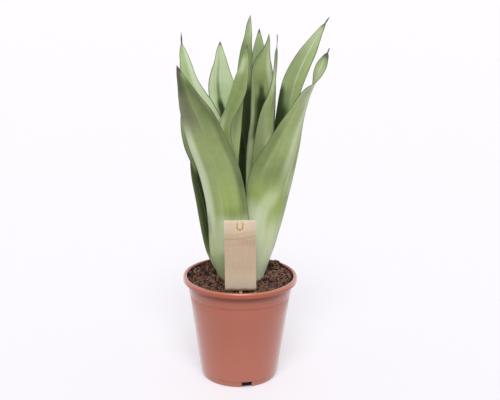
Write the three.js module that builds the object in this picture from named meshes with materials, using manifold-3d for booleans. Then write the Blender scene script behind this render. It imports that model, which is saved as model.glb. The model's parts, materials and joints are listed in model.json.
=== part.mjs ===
// A potted snake plant: twelve sword-shaped leaves standing in crumbly soil in a moulded nursery pot,
// with a plain card tag held up by a plastic stake. Millimetres, +Z up. The origin is the centre of the
// pot's underside, and the leaves' show side faces -Y.

import * as THREE from "three";
import { mergeVertices } from "three/addons/utils/BufferGeometryUtils.js";
import Module from "manifold-3d";

const wasm = await Module();
wasm.setup();

// ---------- driving dimensions, millimetres and degrees ----------

const CLEARANCE = 0.4; // left between pieces that touch on the real plant
const HOLE_CLEARANCE = 0.5; // round the leaves' feet, whose faces are flat between their rings

const POT = {
  height: 158.5,
  rimRadius: 85,
  rimBand: 7, // height of the rolled rim's outer band
  rimWidth: 5.6, // from the rim's outer edge in to the mouth
  rimRound: 1.8, // of both upper edges
  rimCurl: 1.4, // the rolled band turns in this far at its lower edge
  bodyRadius: 58.6, // just above the foot
  shoulderHeight: 131,
  shoulderRadius: 76,
  shoulderStep: 0.6, // the collar stands this far proud of the body
  shoulderRise: 0.8, // height that the step takes
  collarRadius: 78.6, // just under the rim
  footHeight: 9,
  footRadius: 55.9,
  footStep: 1.2,
  footRise: 0.7, // height that the step over the foot takes
  footRound: 2.5, // of the foot's bottom edge
  wall: 2,
  floor: 3.6,
  facets: 52,
};

const DRAIN = {
  count: 4,
  first: -78, // direction of the first one, which shows at the front
  width: 15.5,
  height: 9,
  inner: 47, // how far in from the edge each one reaches
};

const DRAIN_CHANNEL = { inner: 34, outer: 45.5, depth: 1.4, slope: 1.4 };

const SOIL = {
  level: 151,
  edgeDrop: 2, // lower along the front wall
  edgeGap: 1.1, // and clear of it, because the wall leans in below
  back: { from: -20, to: 45, rise: 6 }, // heaped up to the rim from the one y to the other
  lumps: { height: 0.6, length: 5.2, width: 4.4, cross: 3.1 }, // sizes of three crossing waves
  clod: { x: 50, y: 50, height: 6, spread: 10 }, // stands above the rim at the back right
  rings: 8,
  holeTop: 20, // the tools that cut the leaves' holes run out this far above the soil
};

const LEAF = {
  foot: 138, // the leaves' cut ends stand this high, in holes in the soil
  baseThickness: 3.6,
  topThickness: 2.0,
  edgeThickness: 0.9,
  tipThickness: 0.8, // a narrow stretch is no thicker than this,
  tipGrowth: 0.25, // and this share of its width
  tipWidth: 1, // narrowest ring
  across: 6, // faces across one side
  perStation: 2, // rings from one station to the next
};

const TAG = {
  x: 1.5,
  y: -57, // front face
  bottom: 154,
  lean: -1.1, // towards the left at the top
  width: 45,
  height: 105.5,
  thickness: 0.8,
  corner: 0.6,
  tongue: { width: 9, height: 13, slit: 1, below: 1.6 }, // cut below the top edge, where the stake tucks in
};

const STAKE = {
  width: 4.6,
  thickness: 1.5,
  bottom: 88,
  point: 14, // length of its sharpened end
  proud: 1, // shows above the card
};

// Each leaf's stations run from its foot to its tip. A row holds the middle of the leaf (x, y, z), its width
// there, and the way its outer side faces: 0 is towards the front, 90 to the right and 180 to the back.
// hollow is the depth of the leaf's channel as a share of its width, at the foot and at the tip, and crest is
// where across the leaf it is deepest, from -1 to 1. They were read off the photograph at the pot's scale.
const LEAVES = {
  leaf_front_left: {
    hollow: [0.2, 0.1],
    crest: -0.2,
    stations: [
      [-10, -11, 138, 29, -12],
      [-13, -13, 167, 45, -10],
      [-16, -17, 200, 58, -9],
      [-17, -22, 240, 60, -8],
      [-21, -27, 279, 60, -8],
      [-31, -32, 325, 60, -8],
      [-46, -37, 364, 56, -8],
      [-59, -40, 399, 49, -8],
      [-70, -42, 424, 36, -9],
      [-79, -44, 448, 20, -12],
      [-85, -45, 464, 9, -10],
      [-89, -46, 477, 0, -10],
    ],
  },
  leaf_front_right: {
    hollow: [0.2, 0.1],
    crest: 0.25,
    stations: [
      [17, -4, 138, 30, 20],
      [20, -4, 165, 36, 19],
      [27, -5, 200, 46, 17],
      [35, -9, 255, 58, 14],
      [42, -12, 306, 66, 13],
      [50, -14, 331, 61, 14],
      [59, -15, 355, 53, 20],
      [70, -15, 386, 43, 31],
      [80, -14, 410, 35, 44],
      [89, -12, 431, 29, 54],
      [96, -11, 443, 27, 70],
      [102, -11, 453, 25, 100],
      [108, -11, 466, 21, 131],
      [113, -11, 477, 17, 142],
      [118, -11, 488, 8, 138],
      [122, -12, 499, 0, 138],
    ],
  },
  leaf_left_long: {
    hollow: [0.16, 0.09],
    crest: 0,
    stations: [
      [-12, 21, 138, 30, 186],
      [-14, 22, 175, 37, 187],
      [-21, 23, 216, 47, 188],
      [-33, 23, 287, 59, 189],
      [-43, 22, 334, 66, 190],
      [-51, 22, 356, 68, 191],
      [-58, 21, 378, 63, 192],
      [-64, 21, 402, 52, 192],
      [-71, 22, 424, 38, 193],
      [-77, 24, 444, 27, 194],
      [-81, 26, 466, 18, 195],
      [-85, 29, 484, 11, 196],
      [-87, 30, 495, 4, 197],
      [-88, 33, 514, 0, 198],
    ],
  },
  leaf_left_low: {
    hollow: [0.14, 0.08],
    crest: 0,
    stations: [
      [-18, 31, 138, 28, 171],
      [-24, 33, 158, 33, 173],
      [-32, 36, 188, 43, 175],
      [-39, 39, 228, 47, 177],
      [-45, 42, 263, 47, 179],
      [-52, 44, 294, 45, 182],
      [-58, 45, 318, 38, 184],
      [-62, 46, 347, 28, 186],
      [-65, 47, 373, 15, 188],
      [-66, 49, 403, 0, 190],
    ],
  },
  leaf_back_left: {
    hollow: [0.14, 0.12],
    crest: 0,
    stations: [
      [1, 39, 138, 26, 184],
      [-1, 44, 190, 30, 185],
      [-6, 48, 262, 34, 185],
      [-12, 50, 338, 36, 186],
      [-19, 50, 384, 35, 187],
      [-25, 51, 404, 38, 188],
      [-29, 52, 419, 40, 188],
      [-31, 53, 437, 38, 189],
      [-32, 55, 452, 30, 190],
      [-32, 57, 467, 20, 191],
      [-33, 59, 483, 11, 191],
      [-33, 61, 498, 0, 192],
    ],
  },
  leaf_back_tall: {
    hollow: [0.18, 0.14],
    crest: 0,
    stations: [
      [9, 52, 138, 26, 178],
      [7, 55, 190, 28, 179],
      [5, 58, 258, 28, 179],
      [4, 62, 350, 27, 180],
      [4, 65, 410, 26, 180],
      [4, 68, 448, 24, 181],
      [5, 70, 470, 21, 182],
      [6, 72, 488, 16, 182],
      [8, 73, 503, 11, 183],
      [9, 75, 520, 7, 183],
      [11, 76, 535, 0, 184],
    ],
  },
  leaf_inner_left: {
    hollow: [0.14, 0.1],
    crest: 0,
    stations: [
      [-7, 3, 138, 25, -15],
      [-9, 2, 170, 29, -15],
      [-11, -2, 230, 31, -15],
      [-18, -8, 307, 33, -15],
      [-24, -12, 350, 28, -17],
      [-25, -13, 374, 23, -19],
      [-23, -13, 390, 19, -21],
      [-17, -13, 404, 18, -23],
      [-10, -14, 421, 21, -22],
      [-4, -12, 438, 23, -22],
      [0, -10, 456, 20, -24],
      [3, -8, 468, 15, -25],
      [5, -4, 484, 9, -20],
      [7, 0, 501, 0, -16],
    ],
  },
  leaf_inner_centre: {
    hollow: [0.12, 0.08],
    crest: 0,
    stations: [
      [-4, 12, 138, 23, 171],
      [-4, 12, 180, 25, 170],
      [-6, 11, 240, 24, 169],
      [-12, 9, 310, 19, 164],
      [-11, 9, 347, 18, 162],
      [-9, 10, 376, 19, 161],
      [-7, 10, 393, 17, 160],
      [-4, 10, 408, 13, 162],
      [0, 11, 422, 7, 160],
      [6, 12, 442, 0, 162],
    ],
  },
  leaf_centre: {
    hollow: [0.16, 0.2],
    crest: 0.45,
    stations: [
      [22, 15, 138, 26, 188],
      [22, 15, 180, 29, 190],
      [23, 16, 240, 33, 192],
      [25, 18, 322, 38, 196],
      [27, 19, 356, 39, 199],
      [30, 20, 385, 39, 202],
      [31, 21, 411, 39, 202],
      [31, 23, 435, 38, 201],
      [29, 26, 456, 34, 200],
      [30, 29, 473, 26, 202],
      [34, 31, 487, 14, 204],
      [37, 33, 501, 5, 204],
      [38, 34, 513, 0, 204],
    ],
  },
  leaf_inner_right: {
    hollow: [0.14, 0.08],
    crest: 0,
    stations: [
      [22, 6, 138, 23, 10],
      [25, 5, 170, 25, 10],
      [29, 4, 245, 28, 14],
      [30, 2, 328, 30, 16],
      [32, 2, 357, 29, 16],
      [34, 2, 380, 26, 16],
      [36, 3, 398, 22, 18],
      [39, 4, 413, 19, 26],
      [43, 5, 429, 16, 44],
      [45, 5, 449, 15, 66],
      [47, 6, 468, 13, 70],
      [48, 6, 490, 10, 70],
      [49, 6, 504, 5, 66],
      [49, 5, 516, 0, 66],
    ],
  },
  leaf_back_centre: {
    hollow: [0.14, 0.1],
    crest: 0,
    stations: [
      [28, 41, 138, 23, 175],
      [27, 43, 190, 24, 174],
      [25, 47, 262, 25, 174],
      [25, 50, 353, 27, 173],
      [26, 54, 413, 27, 173],
      [26, 58, 449, 25, 172],
      [25, 60, 474, 22, 172],
      [24, 62, 488, 17, 171],
      [24, 64, 503, 8, 171],
      [24, 66, 517, 0, 170],
    ],
  },
  leaf_right_long: {
    hollow: [0.16, 0.12],
    crest: 0,
    stations: [
      [27, 26, 138, 23, 168],
      [30, 27, 165, 25, 167],
      [39, 30, 225, 28, 167],
      [50, 34, 305, 30, 166],
      [56, 36, 346, 28, 165],
      [61, 37, 376, 28, 164],
      [65, 38, 401, 29, 164],
      [70, 39, 427, 31, 163],
      [75, 41, 444, 32, 162],
      [82, 43, 460, 31, 161],
      [89, 45, 474, 28, 161],
      [97, 47, 488, 24, 160],
      [106, 50, 504, 16, 159],
      [113, 52, 516, 9, 158],
      [119, 54, 525, 4, 158],
      [126, 56, 536, 0, 157],
    ],
  },
};

const COLOURS = {
  pot: 0xb56a56,
  soil: 0x46322a,
  leafFront: 0x93a468,
  leafBack: 0xa6bd86,
  card: 0xc9a98a,
  stake: 0xd9b7a8,
};

// ---------- solids and cuts ----------

/** The closed solid of a geometry, without its doubled vertices and the slivers that they leave. */
function toSolid(geometry) {
  const bare = new THREE.BufferGeometry();
  bare.setAttribute("position", geometry.getAttribute("position").clone());
  if (geometry.index) bare.setIndex(geometry.index.clone());
  const merged = mergeVertices(bare, 1e-4);
  const corners = merged.index.array;
  const kept = [];
  for (let i = 0; i < corners.length; i += 3) {
    const [a, b, c] = [corners[i], corners[i + 1], corners[i + 2]];
    if (a !== b && b !== c && c !== a) kept.push(a, b, c);
  }
  return new wasm.Manifold(
    new wasm.Mesh({
      numProp: 3,
      vertProperties: new Float32Array(merged.getAttribute("position").array),
      triVerts: new Uint32Array(kept),
    }),
  );
}

/** A solid's surface as a geometry. */
function toGeometry(solid) {
  const { vertProperties, triVerts } = solid.getMesh();
  const geometry = new THREE.BufferGeometry();
  geometry.setAttribute("position", new THREE.BufferAttribute(new Float32Array(vertProperties), 3));
  geometry.setIndex(new THREE.BufferAttribute(new Uint32Array(triVerts), 1));
  return geometry;
}

/** A geometry with others cut out of it. */
function cut(geometry, ...tools) {
  let solid = toSolid(geometry);
  for (const tool of tools) solid = solid.subtract(toSolid(tool));
  return toGeometry(solid);
}

/** A geometry of triangles, from points and triples of their numbers. */
function fromTriangles(points, triangles) {
  const geometry = new THREE.BufferGeometry();
  geometry.setAttribute("position", new THREE.Float32BufferAttribute(points.flatMap((p) => p.toArray()), 3));
  geometry.setIndex(triangles.flat());
  return geometry;
}

/** A profile of [radius, height] pairs turned about the Z axis. */
function turned(profile, facets) {
  const points = profile.map(([radius, height]) => new THREE.Vector2(radius, height));
  return new THREE.LatheGeometry(points, facets).rotateX(Math.PI / 2);
}

/** Points on an arc in a profile, from one angle to another in degrees. */
function arc(radius, height, bend, from, to, steps) {
  return Array.from({ length: steps + 1 }, (_, i) => {
    const angle = THREE.MathUtils.degToRad(from + ((to - from) * i) / steps);
    return [radius + bend * Math.cos(angle), height + bend * Math.sin(angle)];
  });
}

// ---------- pot ----------

const RIM_BOTTOM = POT.height - POT.rimBand;
const MOUTH_RADIUS = POT.rimRadius - POT.rimWidth;
const FOOT_TOP_RADIUS = POT.bodyRadius - POT.footStep;
const WALL_TOP = { radius: POT.collarRadius - POT.wall, height: RIM_BOTTOM - 1 }; // inside, under the mouth
const MOUTH_FLARE = (MOUTH_RADIUS - WALL_TOP.radius) / (POT.height - POT.rimRound - WALL_TOP.height);

/** The pot's section: up its outside from the middle of the underside, over the rim and down the inside. */
function potProfile() {
  const { inner, outer, depth, slope } = DRAIN_CHANNEL;
  const underside = [
    [0, 0],
    [inner, 0],
    [inner + slope, depth],
    [outer - slope, depth],
    [outer, 0],
  ];
  const { footRound, rimRound, rimCurl } = POT;
  const outside = [
    ...arc(POT.footRadius - footRound, footRound, footRound, -90, 0, 3),
    [FOOT_TOP_RADIUS, POT.footHeight],
    [POT.bodyRadius, POT.footHeight + POT.footRise],
    [POT.shoulderRadius - POT.shoulderStep, POT.shoulderHeight],
    [POT.shoulderRadius, POT.shoulderHeight + POT.shoulderRise],
    [POT.collarRadius, RIM_BOTTOM],
  ];
  const rim = [
    [POT.rimRadius - rimCurl, RIM_BOTTOM],
    [POT.rimRadius, RIM_BOTTOM + rimCurl],
    ...arc(POT.rimRadius - rimRound, POT.height - rimRound, rimRound, 0, 90, 3),
    ...arc(MOUTH_RADIUS + rimRound, POT.height - rimRound, rimRound, 90, 180, 2),
  ];
  return [...underside, ...outside, ...rim, ...potInside()];
}

/** The inside of the pot, from under the mouth down to the middle of the floor, or a gap clear of it. */
function potInside(gap = 0) {
  return [
    [WALL_TOP.radius - gap, WALL_TOP.height],
    [POT.shoulderRadius - POT.shoulderStep - POT.wall - gap, POT.shoulderHeight],
    [POT.bodyRadius - POT.wall - gap, POT.footHeight + 2],
    [FOOT_TOP_RADIUS - POT.wall - gap, POT.footHeight],
    [POT.footRadius - POT.wall - gap, POT.floor + gap],
    [0, POT.floor + gap],
  ];
}

/** One drain opening: a block that cuts through the foot where the wall meets the floor. */
function drainBlock(index) {
  const length = POT.rimRadius - DRAIN.inner;
  const block = new THREE.BoxGeometry(length, DRAIN.width, 2 * DRAIN.height);
  block.translate(DRAIN.inner + length / 2, 0, 0);
  return block.rotateZ(THREE.MathUtils.degToRad(DRAIN.first + (index * 360) / DRAIN.count));
}

function potGeometry() {
  const drains = Array.from({ length: DRAIN.count }, (_, i) => drainBlock(i));
  return cut(turned(potProfile(), POT.facets), ...drains);
}

// ---------- leaves ----------

/** A leaf's rib, and its width and turn, as two curves that share one parameter. */
function leafCurves(stations) {
  const through = (pick) => new THREE.CatmullRomCurve3(stations.map(pick), false, "catmullrom", 0.5);
  return {
    rib: through(([x, y, z]) => new THREE.Vector3(x, y, z)),
    shape: through(([, , , width, turn]) => new THREE.Vector3(width, turn, 0)),
  };
}

/** How far the leaf's channel reaches at a place across it, as a share of its full depth. */
function channel(across, crest) {
  const side = across < crest ? 1 + crest : 1 - crest;
  return 1 - ((across - crest) / side) ** 2;
}

/** The leaf's outline where it is cut across: its outer face from edge to edge, then its inner face back. */
function leafSection(width, depth, crest, core, grow) {
  const half = width / 2;
  const middle = (v) => new THREE.Vector2(v * half, depth * channel(v, crest));
  const places = Array.from({ length: LEAF.across + 1 }, (_, i) => (2 * i) / LEAF.across - 1);
  const nudge = 0.02; // either way along the curve, for its direction
  const face = (side) =>
    places.map((v) => {
      const along = middle(v + nudge).sub(middle(v - nudge)).normalize();
      const thick = LEAF.edgeThickness + (core - LEAF.edgeThickness) * (1 - v * v);
      const out = new THREE.Vector2(-along.y, along.x).multiplyScalar(side * (thick / 2 + grow));
      return middle(v).add(out).add(along.multiplyScalar(Math.abs(v) === 1 ? v * grow : 0));
    });
  return [...face(1), ...face(-1).reverse()];
}

/** One ring of a leaf's points, at a share t of the way from its foot to its tip. */
function leafRing(leaf, curves, t, grow) {
  const { x: width, y: turn } = curves.shape.getPoint(t);
  const up = t === 0 ? new THREE.Vector3(0, 0, 1) : curves.rib.getTangent(t);
  const facing = THREE.MathUtils.degToRad(turn);
  const across = new THREE.Vector3(Math.cos(facing), Math.sin(facing), 0);
  across.addScaledVector(up, -across.dot(up)).normalize();
  const outward = new THREE.Vector3().crossVectors(across, up);
  const depth = width * THREE.MathUtils.lerp(...leaf.hollow, t);
  const body = THREE.MathUtils.lerp(LEAF.baseThickness, LEAF.topThickness, t);
  const core = Math.min(body, LEAF.tipThickness + LEAF.tipGrowth * width);
  const centre = curves.rib.getPoint(t);
  return leafSection(Math.max(width, LEAF.tipWidth), depth, leaf.crest, core, grow).map((p) =>
    centre.clone().addScaledVector(across, p.x).addScaledVector(outward, p.y),
  );
}

/** Two triangles for each face between rings, split the same way on both sides of the leaf. */
function ringFaces(lower, upper) {
  const count = 2 * (LEAF.across + 1);
  return Array.from({ length: count }, (_, i) => {
    const next = (i + 1) % count;
    const [a, b, c, d] = [lower + i, lower + next, upper + next, upper + i];
    return i <= LEAF.across ? [a, b, c, a, c, d] : [a, b, d, b, c, d];
  });
}

/** A strip of triangles that closes a leaf's cut end; it looks down, or up if it is the upper end. */
function endFaces(start, upper) {
  const last = 2 * LEAF.across + 1;
  return Array.from({ length: LEAF.across }, (_, i) => {
    const [a, b, c, d] = [start + i, start + i + 1, start + last - i - 1, start + last - i];
    return upper ? [a, b, c, a, c, d] : [c, b, a, d, c, a];
  });
}

function leafGeometry(leaf) {
  const curves = leafCurves(leaf.stations);
  const rings = LEAF.perStation * (leaf.stations.length - 1);
  const points = [];
  const faces = [endFaces(0, false)];
  const size = 2 * (LEAF.across + 1);
  for (let k = 0; k < rings; k += 1) {
    points.push(...leafRing(leaf, curves, k / rings, 0));
    if (k > 0) faces.push(ringFaces((k - 1) * size, k * size));
  }
  const tip = points.length;
  points.push(curves.rib.getPoint(1));
  faces.push(Array.from({ length: size }, (_, i) => [tip - size + i, tip - size + ((i + 1) % size), tip]));
  return fromTriangles(points, faces.flat());
}

/** The plain hole that a leaf stands in: its own foot, grown by the clearance and run out above the soil. */
function leafHole(leaf) {
  const curves = leafCurves(leaf.stations);
  const size = 2 * (LEAF.across + 1);
  const rings = LEAF.perStation * (leaf.stations.length - 1);
  const points = leafRing(leaf, curves, 0, HOLE_CLEARANCE).map((p) => p.setZ(LEAF.foot - CLEARANCE));
  const faces = [endFaces(0, false)];
  let k = 0;
  while (points.at(-1).z < SOIL.level + SOIL.holeTop) {
    k += 1;
    points.push(...leafRing(leaf, curves, k / rings, HOLE_CLEARANCE));
    faces.push(ringFaces((k - 1) * size, k * size));
  }
  faces.push(endFaces(k * size, true));
  return fromTriangles(points, faces.flat());
}

// ---------- tag and stake ----------

/** Stands a flat shape, drawn in x and height, at the tag's place, this far behind the card's face. */
function standing(shape, thickness, behind) {
  const plate = new THREE.ExtrudeGeometry(shape, { depth: thickness, bevelEnabled: false, curveSegments: 4 });
  plate.rotateX(Math.PI / 2).translate(0, thickness + behind, 0);
  plate.rotateY(THREE.MathUtils.degToRad(TAG.lean));
  return plate.translate(TAG.x, TAG.y, TAG.bottom);
}

/** The U-shaped slit that frees the card's tongue. */
function tongueSlit() {
  const { width, height, slit, below } = TAG.tongue;
  const top = TAG.height - below;
  const radius = width / 2;
  const slot = new THREE.Path();
  slot.moveTo(-radius, top);
  slot.lineTo(-radius, top - height + radius);
  slot.absarc(0, top - height + radius, radius, Math.PI, 2 * Math.PI, false);
  slot.lineTo(radius, top);
  slot.lineTo(radius - slit, top);
  slot.lineTo(radius - slit, top - height + radius);
  slot.absarc(0, top - height + radius, radius - slit, 2 * Math.PI, Math.PI, true);
  slot.lineTo(slit - radius, top);
  slot.closePath();
  return slot;
}

function cardGeometry() {
  const [half, top, nip] = [TAG.width / 2, TAG.height, TAG.corner];
  const card = new THREE.Shape();
  card.moveTo(-half + nip, 0);
  card.lineTo(half - nip, 0);
  card.lineTo(half, nip);
  card.lineTo(half, top - nip);
  card.lineTo(half - nip, top);
  card.lineTo(-half + nip, top);
  card.lineTo(-half, top - nip);
  card.lineTo(-half, nip);
  card.closePath();
  card.holes.push(tongueSlit());
  return standing(card, TAG.thickness, 0);
}

/** The stake, or with a gap the hole that it is pushed into. */
function stakeGeometry(gap = 0) {
  const half = STAKE.width / 2 + gap;
  const bottom = STAKE.bottom - TAG.bottom - 4 * gap;
  const top = TAG.height + STAKE.proud;
  const blade = new THREE.Shape();
  blade.moveTo(0, bottom);
  blade.lineTo(half, bottom + STAKE.point);
  blade.lineTo(half, top - half);
  blade.absarc(0, top - half, half, 0, Math.PI, false);
  blade.lineTo(-half, bottom + STAKE.point);
  blade.closePath();
  return standing(blade, STAKE.thickness + 2 * gap, TAG.thickness + CLEARANCE - gap);
}

// ---------- soil ----------

/** Height of the soil's surface: lumpy, lower along the front wall and heaped up towards the back. */
function soilHeight(x, y) {
  const { back, lumps, clod } = SOIL;
  const reach = Math.hypot(x, y) / WALL_TOP.radius;
  const behind = THREE.MathUtils.smoothstep(y, back.from, back.to);
  const slope = back.rise * behind * reach ** 1.5 - SOIL.edgeDrop * (1 - behind) * reach ** 4;
  const across = Math.sin(x / lumps.length + 1) * Math.cos(y / lumps.width);
  const waves = across + 0.6 * Math.sin((x - y) / lumps.cross);
  const away = ((x - clod.x) ** 2 + (y - clod.y) ** 2) / clod.spread ** 2;
  return SOIL.level + slope + lumps.height * waves + clod.height * Math.exp(-away);
}

function soilGeometry() {
  const wall = potInside(CLEARANCE).reverse();
  const brim = wall.pop()[0] - SOIL.edgeGap;
  wall.push([brim, SOIL.level - 2 * SOIL.edgeDrop]);
  const surface = Array.from({ length: SOIL.rings + 1 }, (_, i) => [brim * (1 - i / SOIL.rings), SOIL.level]);
  const body = turned([...wall, ...surface], POT.facets);
  const position = body.getAttribute("position");
  for (let i = 0; i < position.count; i += 1) {
    const [x, y, z] = [position.getX(i), position.getY(i), position.getZ(i)];
    if (z < SOIL.level - 1) continue; // only the flat top is moved
    const height = soilHeight(x, y);
    const spread = 1 + (MOUTH_FLARE * Math.max(0, height - SOIL.level)) / brim;
    position.setXYZ(i, x * spread, y * spread, height);
  }
  const holes = Object.values(LEAVES).map(leafHole);
  return cut(body, ...holes, stakeGeometry(CLEARANCE));
}

// ---------- the whole plant ----------

/** A named piece with a material of its own. */
function piece(name, geometry, color, roughness) {
  const mesh = new THREE.Mesh(geometry, new THREE.MeshStandardMaterial({ color, roughness, metalness: 0 }));
  mesh.name = name;
  return mesh;
}

const plant = new THREE.Group();
plant.add(piece("pot", potGeometry(), COLOURS.pot, 0.45));
plant.add(piece("soil", soilGeometry(), COLOURS.soil, 0.95));
for (const [name, leaf] of Object.entries(LEAVES)) {
  const facesFront = Math.abs(leaf.stations[0][4]) < 90;
  plant.add(piece(name, leafGeometry(leaf), facesFront ? COLOURS.leafFront : COLOURS.leafBack, 0.4));
}
plant.add(piece("tag_card", cardGeometry(), COLOURS.card, 0.85));
plant.add(piece("tag_stake", stakeGeometry(), COLOURS.stake, 0.35));

export default plant;
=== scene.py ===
"""Dresses a potted snake plant for a white studio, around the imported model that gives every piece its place.

The leaves are lofted again, finely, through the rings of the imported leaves. The pot, the soil, the card tag
and its stake are modelled anew inside the space of their solids. Sizes are in millimetres in the classes'
fields and in metres, by way of MM, in the meshes.
"""

from __future__ import annotations

import json
import logging
import math
from collections.abc import Iterable, Sequence
from dataclasses import dataclass, field
from enum import Enum

import bmesh
import bpy
import numpy as np
from bmesh.types import BMVert
from bpy.types import Material, Node, NodeSocket, NodeTree, Object
from mathutils import Matrix, Vector, noise

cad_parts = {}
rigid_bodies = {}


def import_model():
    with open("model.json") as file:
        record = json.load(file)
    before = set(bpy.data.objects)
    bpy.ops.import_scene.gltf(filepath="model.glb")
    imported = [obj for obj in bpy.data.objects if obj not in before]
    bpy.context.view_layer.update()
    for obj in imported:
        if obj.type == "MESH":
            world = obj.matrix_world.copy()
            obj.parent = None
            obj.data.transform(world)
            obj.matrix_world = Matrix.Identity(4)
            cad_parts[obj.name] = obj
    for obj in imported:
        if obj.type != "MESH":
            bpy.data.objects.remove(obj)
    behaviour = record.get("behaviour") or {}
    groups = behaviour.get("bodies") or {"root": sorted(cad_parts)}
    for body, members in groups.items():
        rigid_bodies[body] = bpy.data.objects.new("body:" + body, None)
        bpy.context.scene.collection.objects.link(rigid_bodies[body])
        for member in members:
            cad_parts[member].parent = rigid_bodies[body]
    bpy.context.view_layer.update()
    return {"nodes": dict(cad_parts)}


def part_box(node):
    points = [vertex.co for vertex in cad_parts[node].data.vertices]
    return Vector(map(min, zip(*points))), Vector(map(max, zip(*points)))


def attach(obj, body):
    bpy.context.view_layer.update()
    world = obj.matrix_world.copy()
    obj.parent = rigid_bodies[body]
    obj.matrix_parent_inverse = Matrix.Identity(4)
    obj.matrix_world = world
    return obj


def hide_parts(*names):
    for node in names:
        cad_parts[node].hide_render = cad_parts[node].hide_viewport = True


LOG = logging.getLogger("snake_plant")
MM = 0.001
TINY = 1e-9
BODY = "root"
Array = np.ndarray
Pair = tuple[float, float]
Triple = tuple[float, float, float]
Faces = list[tuple[int, ...]]
Source = Node | NodeSocket


# ---------- helpers ----------


def linear(hex_colour: str) -> tuple[float, float, float, float]:
    """Turns an sRGB hex colour into the linear colour that a shader takes.

    Args:
        hex_colour: Six hex digits, such as "8f9f63".

    Returns:
        Linear red, green and blue, by the sRGB standard's curve, and full alpha.
    """
    parts = [int(hex_colour[i : i + 2], 16) / 255 for i in (0, 2, 4)]
    curve = [c / 12.92 if c <= 0.04045 else ((c + 0.055) / 1.055) ** 2.4 for c in parts]
    return (*curve, 1.0)


def feed(node: Node, sockets: dict) -> None:
    """Gives a node's inputs their values and links.

    Args:
        node: The node, in its tree.
        sockets: For each input, by name or number, the value that it holds, the output socket that feeds it,
            or the node whose first output in use feeds it.
    """
    for name, value in sockets.items():
        if isinstance(value, Node):
            value = next(output for output in value.outputs if output.enabled)
        if isinstance(value, NodeSocket):
            node.id_data.links.new(value, node.inputs[name])
        else:
            node.inputs[name].default_value = value


def add_node(tree: NodeTree, kind: str, sockets: dict | None = None, **settings: object) -> Node:
    """Adds a node to a tree, with its settings, values and links.

    Args:
        tree: The node tree.
        kind: The node's type name.
        sockets: The node's inputs, as feed takes them.
        **settings: Properties of the node itself.

    Returns:
        The new node.
    """
    node = tree.nodes.new(kind)
    for name, value in settings.items():
        setattr(node, name, value)
    feed(node, sockets or {})
    return node


def set_stops(node: Node, stops: Iterable[tuple[float, str]]) -> None:
    """Sets a colour ramp's stops.

    Args:
        node: The ramp's node.
        stops: Each place on the ramp, with its hex colour.
    """
    elements, stops = node.color_ramp.elements, list(stops)
    while len(elements) < len(stops):
        elements.new(0.5)
    for element, (place, colour) in zip(elements, stops):
        element.position, element.color = place, linear(colour)


def overlay(tree: NodeTree, colour: Source, layers: Iterable[tuple[Source | str, str]]) -> Source:
    """Lays colours over a base colour one after another, each as strongly as its mask says.

    Args:
        tree: The node tree.
        colour: The base colour.
        layers: Each layer's mask, which is a source or the name of the mesh's attribute, and hex colour.

    Returns:
        The source of the colour on top.
    """
    for mask, hex_colour in layers:
        if isinstance(mask, str):
            mask = add_node(tree, "ShaderNodeAttribute", attribute_name=mask).outputs["Fac"]
        inputs = {"Factor": mask, "A": colour, "B": linear(hex_colour)}
        colour = add_node(tree, "ShaderNodeMix", inputs, data_type="RGBA")
    return colour


def new_material(name: str) -> tuple[Material, NodeTree, Node]:
    """Starts a material.

    Args:
        name: The material's name.

    Returns:
        The material, its node tree and its shader.
    """
    material = bpy.data.materials.new(name)
    material.use_nodes = True
    return material, material.node_tree, material.node_tree.nodes["Principled BSDF"]


def catmull_rom(points: Array, places: Array) -> Array:
    """Samples a smooth curve that runs through rows of points.

    Args:
        points: The rows, along the first axis.
        places: Where to sample, from 0 at the first row to the last row's number.

    Returns:
        One row for each place.
    """
    before, after = 2 * points[:1] - points[1:2], 2 * points[-1:] - points[-2:-1]
    padded = np.concatenate([before, points, after])
    start = np.clip(np.floor(places).astype(int), 0, len(points) - 2)
    share = (places - start).reshape(-1, *[1] * (points.ndim - 1))
    a, b, c, d = (padded[start + k] for k in range(4))
    bend = (2 * a - 5 * b + 4 * c - d) * share**2 + (3 * b - a - 3 * c + d) * share**3
    return b + 0.5 * ((c - a) * share + bend)


def smooth_step(value: Array, low: float, high: float) -> Array:
    """Rises smoothly from 0 at low to 1 at high."""
    share = np.clip((value - low) / (high - low), 0, 1)
    return share * share * (3 - 2 * share)


def wash(place: Array, span: tuple[float, float | Array, float]) -> Array:
    """Fades a mark in.

    Args:
        place: Each point's place.
        span: The mark's full strength, the place where it starts and the place where it is full.

    Returns:
        How strong the mark is at each point.
    """
    strength, start, full = span
    return strength * smooth_step(place, start, full)


def ring_faces(numbers: Array) -> Faces:
    """Lists the four-sided faces between closed rings of points.

    Args:
        numbers: The points' vertex numbers, a row for each ring, anticlockwise seen from past the last one.

    Returns:
        The faces, from the first ring on.
    """
    after = np.roll(numbers, -1, axis=1)
    corners = (numbers[:-1], after[:-1], after[1:], numbers[1:])
    return [tuple(face) for face in np.stack(corners, axis=-1).reshape(-1, 4).tolist()]


def fan_faces(ring: Sequence[int], centre: int) -> Faces:
    """Lists the triangles that join a closed ring to one point.

    Args:
        ring: The ring's vertex numbers, anticlockwise from outside.
        centre: The point's number.

    Returns:
        The triangles, in the ring's order.
    """
    return [(a, b, centre) for a, b in zip(ring, [*ring[1:], ring[0]])]


def circle(count: int) -> tuple[Array, Array]:
    """Gives the cosines and sines of equal turns round a circle."""
    turns = np.linspace(0, 2 * np.pi, count, endpoint=False)
    return np.cos(turns), np.sin(turns)


def clear_scene() -> None:
    """Removes whatever the file was opened with, such as a default cube, light and camera."""
    for existing in list(bpy.data.objects):
        bpy.data.objects.remove(existing)


def place_object(name: str, data: bpy.types.ID) -> Object:
    """Makes an object of a mesh, a light or a camera, and puts it in the scene."""
    made = bpy.data.objects.new(name, data)
    bpy.context.scene.collection.objects.link(made)
    return made


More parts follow.
